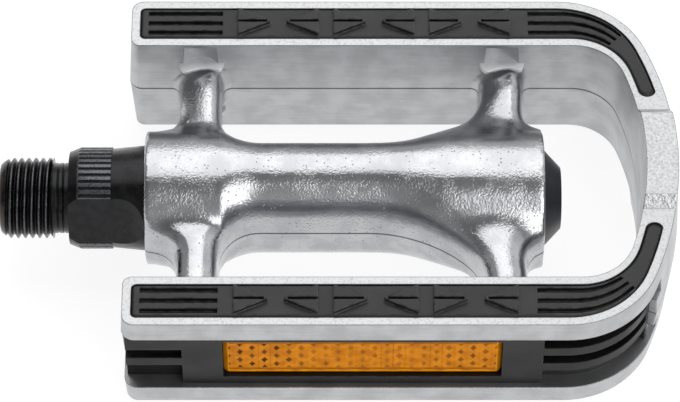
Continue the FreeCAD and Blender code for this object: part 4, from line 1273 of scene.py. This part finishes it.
    def lean(self, places: np.ndarray) -> None:
        """Slopes the arms' upper faces at the rear and lower ones at the front towards the crank.

        Args:
            places: the points of the barrel and the arms, which are moved.
        """
        x, y, z = places.T / MM
        tall = np.abs(z)
        share = ease(tall, *self.lean_rise) * (1.0 - ease(tall, *self.lean_fall)) * (y * z > 0.0)
        share *= ease(np.abs(y), *self.lean_root)
        for place, slope in zip(self.arm_places, self.lean_slopes):
            near = 1.0 - ease(np.abs(x - place), *self.lean_width)
            drop = np.clip(slope * (place + self.lean_pivot - x), 0.0, self.lean_most)
            places[:, 2] -= np.sign(z) * near * share * drop * MM

    def build(self) -> None:
        """Builds and dresses the pieces, and lets them stand for the casting."""
        cast = self.finish.material()
        # the ledges' pale colour is a painted highlight
        fettled = self.ledge_finish.material()
        for piece, material in (
            (self.rails(), cast),
            (self.barrel(), cast),
            (self.ledges(), fettled),
        ):
            dress(piece, material)
            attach(piece, "platform")
            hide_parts("platform_body")


@dataclass
class CrankSpindle:
    """The steel spindle: left-hand crank thread, knurled collar with flats, and the shank."""

    node: bpy.types.Object
    crest_radius: float = 7.14
    root_radius: float = 6.37
    pitch: float = 1.27
    tip_x: float = -12.3
    thread_end_x: float = -2.9
    tip_radius: float = 5.6
    tip_round: float = 1.26
    crest_flat: float = 0.09
    root_start: float = 0.47
    runout_slope: float = 1.6
    around: int = 96
    along: int = 132
    overlap: float = 0.02
    clear: float = 20.0
    past_end: float = 5.0
    shank_sharp_angle: float = 28.0
    thread_sharp_angle: float = 40.0
    finish: BlackOxideSteel = BlackOxideSteel()

    def shank(self) -> bpy.types.Object:
        """Keeps the spindle without its plain thread cylinder.

        Returns:
            The piece.
        """
        piece = merged_copy(self.node, "spindle_shank")
        end_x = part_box("spindle")[1].x / MM + self.past_end
        low = (self.thread_end_x - self.overlap, -self.clear, -self.clear)
        trim(piece, Cut.KEEP_INSIDE, [block("shank_keeper", low, (end_x, self.clear, self.clear))])
        smooth_shading(piece, self.shank_sharp_angle)
        return piece

    def thread(self, material: bpy.types.Material) -> bpy.types.Object:
        """Rolls a flat grid into the crank thread, by a geometry rule.

        Args:
            material: the finish the thread is set in.

        Returns:
            The piece.
        """
        sizes = {
            "Crest Radius": self.crest_radius * MM,
            "Root Radius": self.root_radius * MM,
            "Pitch": self.pitch * MM,
            "Tip X": self.tip_x * MM,
            "Length": (self.thread_end_x - self.tip_x) * MM,
            "Tip Radius": self.tip_radius * MM,
            "Tip Round": self.tip_round * MM,
            "Crest Flat": self.crest_flat,
        }
        tree = start_rule("left_hand_thread", sizes)
        add = partial(add_node, tree)
        given = add("NodeGroupInput").outputs
        length, root = given["Length"], given["Root Radius"]
        grid = add("GeometryNodeMeshGrid", [length, 1.0, self.along + 1, self.around + 1])
        flat = add("ShaderNodeSeparateXYZ", [add("GeometryNodeInputPosition")]).outputs
        depth = add("ADD", [flat["X"], add("MULTIPLY", [length, 0.5])])
        turns = add("ADD", [add("DIVIDE", [depth, given["Pitch"]]), flat["Y"]])
        wave = add("PINGPONG", [turns, 0.5])
        flank = add(
            "ShaderNodeMapRange",
            [wave, given["Crest Flat"], self.root_start, given["Crest Radius"], root],
            interpolation_type="LINEAR",
        )
        # the tip is rounded over, and the thread runs out before the neck
        nose = add("SQRT", [add("MULTIPLY", [depth, given["Tip Round"]])])
        nose = add("ADD", [given["Tip Radius"], nose])
        left = add("SUBTRACT", [length, depth])
        runout = add("MULTIPLY_ADD", [left, self.runout_slope, root])
        radius = add("MINIMUM", [add("MINIMUM", [flank, nose]), runout])
        angle = add("MULTIPLY", [flat["Y"], 2.0 * math.pi])
        rolled = [add("ADD", [depth, given["Tip X"]])]
        for way in ("COSINE", "SINE"):
            rolled.append(add("MULTIPLY", [add(way, [angle]), radius]))
        rolled = add("ShaderNodeCombineXYZ", rolled)
        thread = add("GeometryNodeSetPosition", {"Geometry": grid, "Position": rolled})
        disc = add("GeometryNodeMeshCircle", [self.around, given["Tip Radius"]], fill_type="NGON")
        stood = add("ShaderNodeCombineXYZ", [given["Tip X"]])
        lid = add("GeometryNodeTransform", [disc, stood, (0.0, -math.pi / 2, 0.0)])
        joined = feed(add("GeometryNodeJoinGeometry", [thread]), [lid])
        closed = add("GeometryNodeMergeByDistance", {"Geometry": joined, "Distance": 0.004 * MM})
        piece = follow_rule("crank_thread", tree, closed, material)
        with shaping(piece) as form:
            bmesh.ops.recalc_face_normals(form, faces=form.faces)
        smooth_shading(piece, self.thread_sharp_angle)
        return piece

    def build(self) -> None:
        """Builds and dresses the shank and the thread, and lets them stand for the spindle."""
        material = self.finish.material()
        for piece in (self.shank(), self.thread(material)):
            dress(piece, material)
            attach(piece, "spindle")
            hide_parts("spindle")


@dataclass
class Reflector:
    """One side's amber reflector: clear lens over a field of six-sided prism cells."""

    side: Side
    lens: bpy.types.Object
    base: bpy.types.Object
    column_pitch: float = 2.12
    row_pitch: float = 2.5
    prism_height: float = 0.13
    sunk: float = -0.02
    margin: float = 1.0

    def cells(self, material: bpy.types.Material) -> bpy.types.Object:
        """Lays rows of prism cells behind the lens's face, by a geometry rule.

        Every second column is shifted by half a row.

        Args:
            material: the finish the cells are set in.

        Returns:
            The piece.
        """
        low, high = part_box(self.lens.name)
        room = high - low - Vector((1.0, 0.0, 1.0)) * 2 * self.margin * MM
        columns = int(room.x / (self.column_pitch * MM)) + 1
        rows = int(room.z / (self.row_pitch * MM)) + 2
        prefix = self.side.name.lower()
        sizes = {
            "Column Pitch": self.column_pitch * MM,
            "Row Pitch": self.row_pitch * MM,
            "Prism Height": self.prism_height * MM,
        }
        tree = start_rule(f"{prefix}_prism_field", sizes)
        add = partial(add_node, tree)
        given = add("NodeGroupInput").outputs
        across, upward = given["Column Pitch"], given["Row Pitch"]
        width = add("MULTIPLY", [across, float(columns - 1)])
        tall = add("MULTIPLY", [upward, float(rows - 1)])
        grid = add("GeometryNodeMeshGrid", [width, tall, columns, rows])
        flat = add("ShaderNodeSeparateXYZ", [add("GeometryNodeInputPosition")]).outputs
        column = add("ADD", [add("DIVIDE", [flat["X"], across]), 0.5 * (columns - 1)])
        odd = add("MODULO", [add("ROUND", [column]), 2.0])
        lift = add("MULTIPLY", [add("MULTIPLY", [odd, 0.5]), upward])
        lift = add("ShaderNodeCombineXYZ", {"Y": lift})
        laid = add("GeometryNodeSetPosition", {"Geometry": grid, "Offset": lift})
        reach = add("MULTIPLY", [upward, 0.5 / math.cos(math.pi / 6)])
        prism = {"Vertices": 6, "Radius Top": 0.0, "Radius Bottom": reach}
        prism["Depth"] = given["Prism Height"]
        cone = add("GeometryNodeMeshCone", prism, fill_type="NONE")
        planted = add("GeometryNodeInstanceOnPoints", {"Points": laid, "Instance": cone})
        piece = follow_rule(f"{prefix}_prism_cells", tree, planted, material)
        sign = self.side.value
        centre = (low + high) / 2
        face = (high.y if sign > 0 else low.y) - sign * self.sunk * MM
        # columns run along X and rows up Z, with each prism's point towards the outside
        turn = Matrix(((1, 0, 0), (0, 0, sign), (0, 1, 0))).to_4x4()
        shift = Matrix.Translation((centre.x, face, centre.z - 0.25 * self.row_pitch * MM))
        piece.data.transform(shift @ turn)
        with shaping(piece) as form:
            for axis in (0, 2):
                for corner, outward in ((low, -1.0), (high, 1.0)):
                    edge, way = Vector(), Vector()
                    edge[axis] = corner[axis] - outward * self.margin * MM
                    way[axis] = outward
                    bmesh.ops.bisect_plane(
                        form,
                        geom=form.verts[:] + form.edges[:] + form.faces[:],
                        plane_co=edge,
                        plane_no=way,
                        clear_outer=True,
                    )
            bmesh.ops.remove_doubles(form, verts=form.verts, dist=0.01 * MM)
            bmesh.ops.recalc_face_normals(form, faces=form.faces)
            if sum(face.normal.y * sign * face.calc_area() for face in form.faces) < 0:
                bmesh.ops.reverse_faces(form, faces=form.faces)
        return piece

    def build(self) -> None:
        """Dresses the lens and its base, and adds the prism cells between them."""
        prefix = self.side.name.lower()
        low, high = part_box(self.lens.name)
        # a clear face, bright where the light comes through, over darker prisms and backing
        clear = AmberAcrylic(f"{prefix}_clear_amber_acrylic", body_hex="EE9A1C", deep_hex="D98412")
        backing = AmberAcrylic(f"{prefix}_amber_backing", body_hex="A8640C", roughness=0.3)
        prisms = AmberAcrylic(
            f"{prefix}_amber_prisms",
            column_pitch=self.column_pitch,
            row_pitch=self.row_pitch,
            start_x=(low.x + high.x) / (2 * MM) - self.column_pitch / 2,
        )
        dress(self.lens, clear.material())
        dress(self.base, backing.material())
        material = prisms.material()
        piece = self.cells(material)
        dress(piece, material)
        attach(piece, "platform")


@dataclass
class Inserts:
    """The moulded black inserts: treads in the rails' slots, and a grip along each rail's side."""

    nodes: dict[str, bpy.types.Object]
    # polypropylene, moulded matt: the treads dusty and paler at the edges, from wear and painted
    # highlight; the grips deep black, with painted shade in their grooves
    tread: MouldedPlastic = MouldedPlastic(
        "tread_polypropylene", "151515", "2A2A29", worn_hex="4E4E4E", grain_depth=0.03, edge_mm=0.5
    )
    grip: MouldedPlastic = MouldedPlastic(
        "grip_polypropylene", "090909", "131312", sheen=0.34, face_y=33.34
    )

    def build(self) -> None:
        """Dresses the inserts, whose ribs and arrows the CAD nodes already have."""
        tread, grip = self.tread.material(), self.grip.material()
        for side in Side:
            prefix = side.name.lower()
            dress(self.nodes[f"{prefix}_upper_tread"], tread)
            dress(self.nodes[f"{prefix}_lower_tread"], tread)
            dress(self.nodes[f"{prefix}_side_grip"], grip)


@dataclass
class Bearings:
    """The two ball bearings with their adjusting parts, the seal and the dust cap."""

    nodes: dict[str, bpy.types.Object]
    # hardened steel, ground bright, with turning marks that are only just seen
    ground: PlainMetal = PlainMetal("ground_bearing_steel", "B9B9BC", "D8D8DA")
    # balls polished to a mirror
    polished: PlainMetal = PlainMetal(
        "polished_ball_steel", "D6D6D8", "E8E8EA", roughness=(0.05, 0.1), turning_depth=0.0005
    )
    # zinc plate, bright with a soft bloom
    zinc: PlainMetal = PlainMetal("bright_zinc_plate", "BFC1C6", "DADBDE", roughness=(0.25, 0.38))
    # nitrile rubber, dead matt
    rubber: MouldedPlastic = MouldedPlastic("nitrile_seal_rubber", "161617", "222223")
    # a moulded cap, greyer and a little glossier than the treads
    cap: MouldedPlastic = MouldedPlastic(
        "dust_cap_plastic", "2B2C30", "3A3B40", roughness=(0.3, 0.45)
    )

    def build(self) -> None:
        """Dresses each small part of the bearings in its own metal or plastic."""
        for finish, names in (
            (self.ground, ("inboard_cup", "outboard_cup", "adjusting_cone")),
            (self.polished, ("inboard_balls", "outboard_balls")),
            (self.zinc, ("lock_washer", "lock_nut")),
            (self.rubber, ("inboard_seal",)),
            (self.cap, ("dust_cap",)),
        ):
            material = finish.material()
            for name in names:
                dress(self.nodes[name], material)


@dataclass
class Studio:
    """White paper, soft boxes and the camera at the photograph's place."""

    camera_place: tuple[float, float, float] = (46.6, -401.6, 574.6)
    elevation: float = 55.05
    lens_mm: float = 209.0
    shift: tuple[float, float] = (0.0103, -0.0044)
    aim: tuple[float, float, float] = (46.6, 0.0, 0.0)
    # each soft box's name, place and size in millimetres, and power in watts
    soft_boxes: tuple[tuple, ...] = (
        ("overhead_box", (-26.0, 348.0, 603.0), (566.0, 760.0), 1.8),
        ("right_box", (375.0, -452.0, 421.0), (428.0, 652.0), 1.67),
    )
    floor_z: float = -14.07
    floor_half: float = 3000.0
    # how bright the room is, by the angle in degrees from its far side up and over
    room_ends: float = 0.7
    room: tuple[tuple[float, float], ...] = (
        (30.0, 0.8),
        (84.0, 0.6),
        (92.0, 0.28),
        (118.0, 0.4),
        (140.0, 0.55),
        (160.0, 0.68),
    )

    def camera(self) -> None:
        """Stands the camera where the photograph was taken."""
        data = bpy.data.cameras.new("camera")
        data.sensor_width = 36.0
        data.sensor_fit = "HORIZONTAL"
        data.lens = self.lens_mm
        data.shift_x, data.shift_y = self.shift
        data.clip_start = 0.01
        data.clip_end = 20.0
        eye = bpy.data.objects.new("camera", data)
        eye.location = Vector(self.camera_place) * MM
        eye.rotation_euler = (math.radians(90.0 - self.elevation), 0.0, 0.0)
        bpy.context.scene.collection.objects.link(eye)
        bpy.context.scene.camera = eye

    def floor(self) -> None:
        """Lays the white paper under the pedal."""
        paper = new_piece("floor")
        with shaping(paper) as form:
            bmesh.ops.create_grid(form, x_segments=1, y_segments=1, size=self.floor_half * MM)
            bmesh.ops.translate(form, verts=form.verts, vec=(0.0, 0.0, self.floor_z * MM))
        dress(paper, StudioPaper().material())

    def soft_box(
        self, name: str, place: tuple[float, float, float], size: tuple[float, float], power: float
    ) -> None:
        """Hangs one soft light that points at the pedal's middle.

        Args:
            name: the light's name.
            place: where it hangs, in millimetres.
            size: its width and height in millimetres.
            power: its power in watts.
        """
        data = bpy.data.lights.new(name, "AREA")
        data.shape = "RECTANGLE"
        data.size, data.size_y = size[0] * MM, size[1] * MM
        data.energy = power
        lamp = bpy.data.objects.new(name, data)
        lamp.location = Vector(place) * MM
        towards = Vector(self.aim) * MM - lamp.location
        lamp.rotation_euler = towards.to_track_quat("-Z", "Y").to_euler()
        bpy.context.scene.collection.objects.link(lamp)

    def sky(self) -> None:
        """Surrounds the set with a grey room: lighter behind and to the right, dark above."""
        world = bpy.data.worlds.new("studio_room")
        bpy.context.scene.world = world
        world.use_nodes = True
        add = partial(add_node, world.node_tree)
        way = add("ShaderNodeTexCoord").outputs["Generated"]
        axes = add("ShaderNodeSeparateXYZ", [way]).outputs
        turn = add("ARCTAN2", [axes["Z"], axes["Y"]])
        ramp = add("ShaderNodeValToRGB", [add("DIVIDE", [turn, math.pi])])
        stops = ramp.color_ramp.elements
        for stop, place in zip(stops, (0.0, 1.0)):
            stop.position, stop.color = place, (*[self.room_ends] * 3, 1.0)
        for place, level in self.room:
            stops.new(place / 180.0).color = (level, level, level, 1.0)
        side = add("ShaderNodeMapRange", [axes["X"], -0.35, 0.45, 0.55, 1.3])
        feed(world.node_tree.nodes["Background"], {"Color": ramp, "Strength": side})

    def build(self) -> None:
        """Sets up the whole studio."""
        self.camera()
        self.floor()
        for name, place, size, power in self.soft_boxes:
            self.soft_box(name, place, size, power)
        self.sky()
        bpy.context.scene.view_settings.view_transform = "Standard"
        log.info("studio: %d lights", len(bpy.data.lights))


def main() -> None:
    """Builds every sub-assembly in order."""
    logging.basicConfig(level=logging.INFO, format="%(name)s %(message)s")
    nodes = frame["nodes"]
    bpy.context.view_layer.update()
    CastCage(nodes["platform_body"]).build()
    CrankSpindle(nodes["spindle"]).build()
    Inserts(nodes).build()
    for side in Side:
        lens, base = (nodes[f"{side.name.lower()}_reflector_{half}"] for half in ("lens", "base"))
        Reflector(side, lens, base).build()
    Bearings(nodes).build()
    Studio().build()


if __name__ == "__main__":
    main()
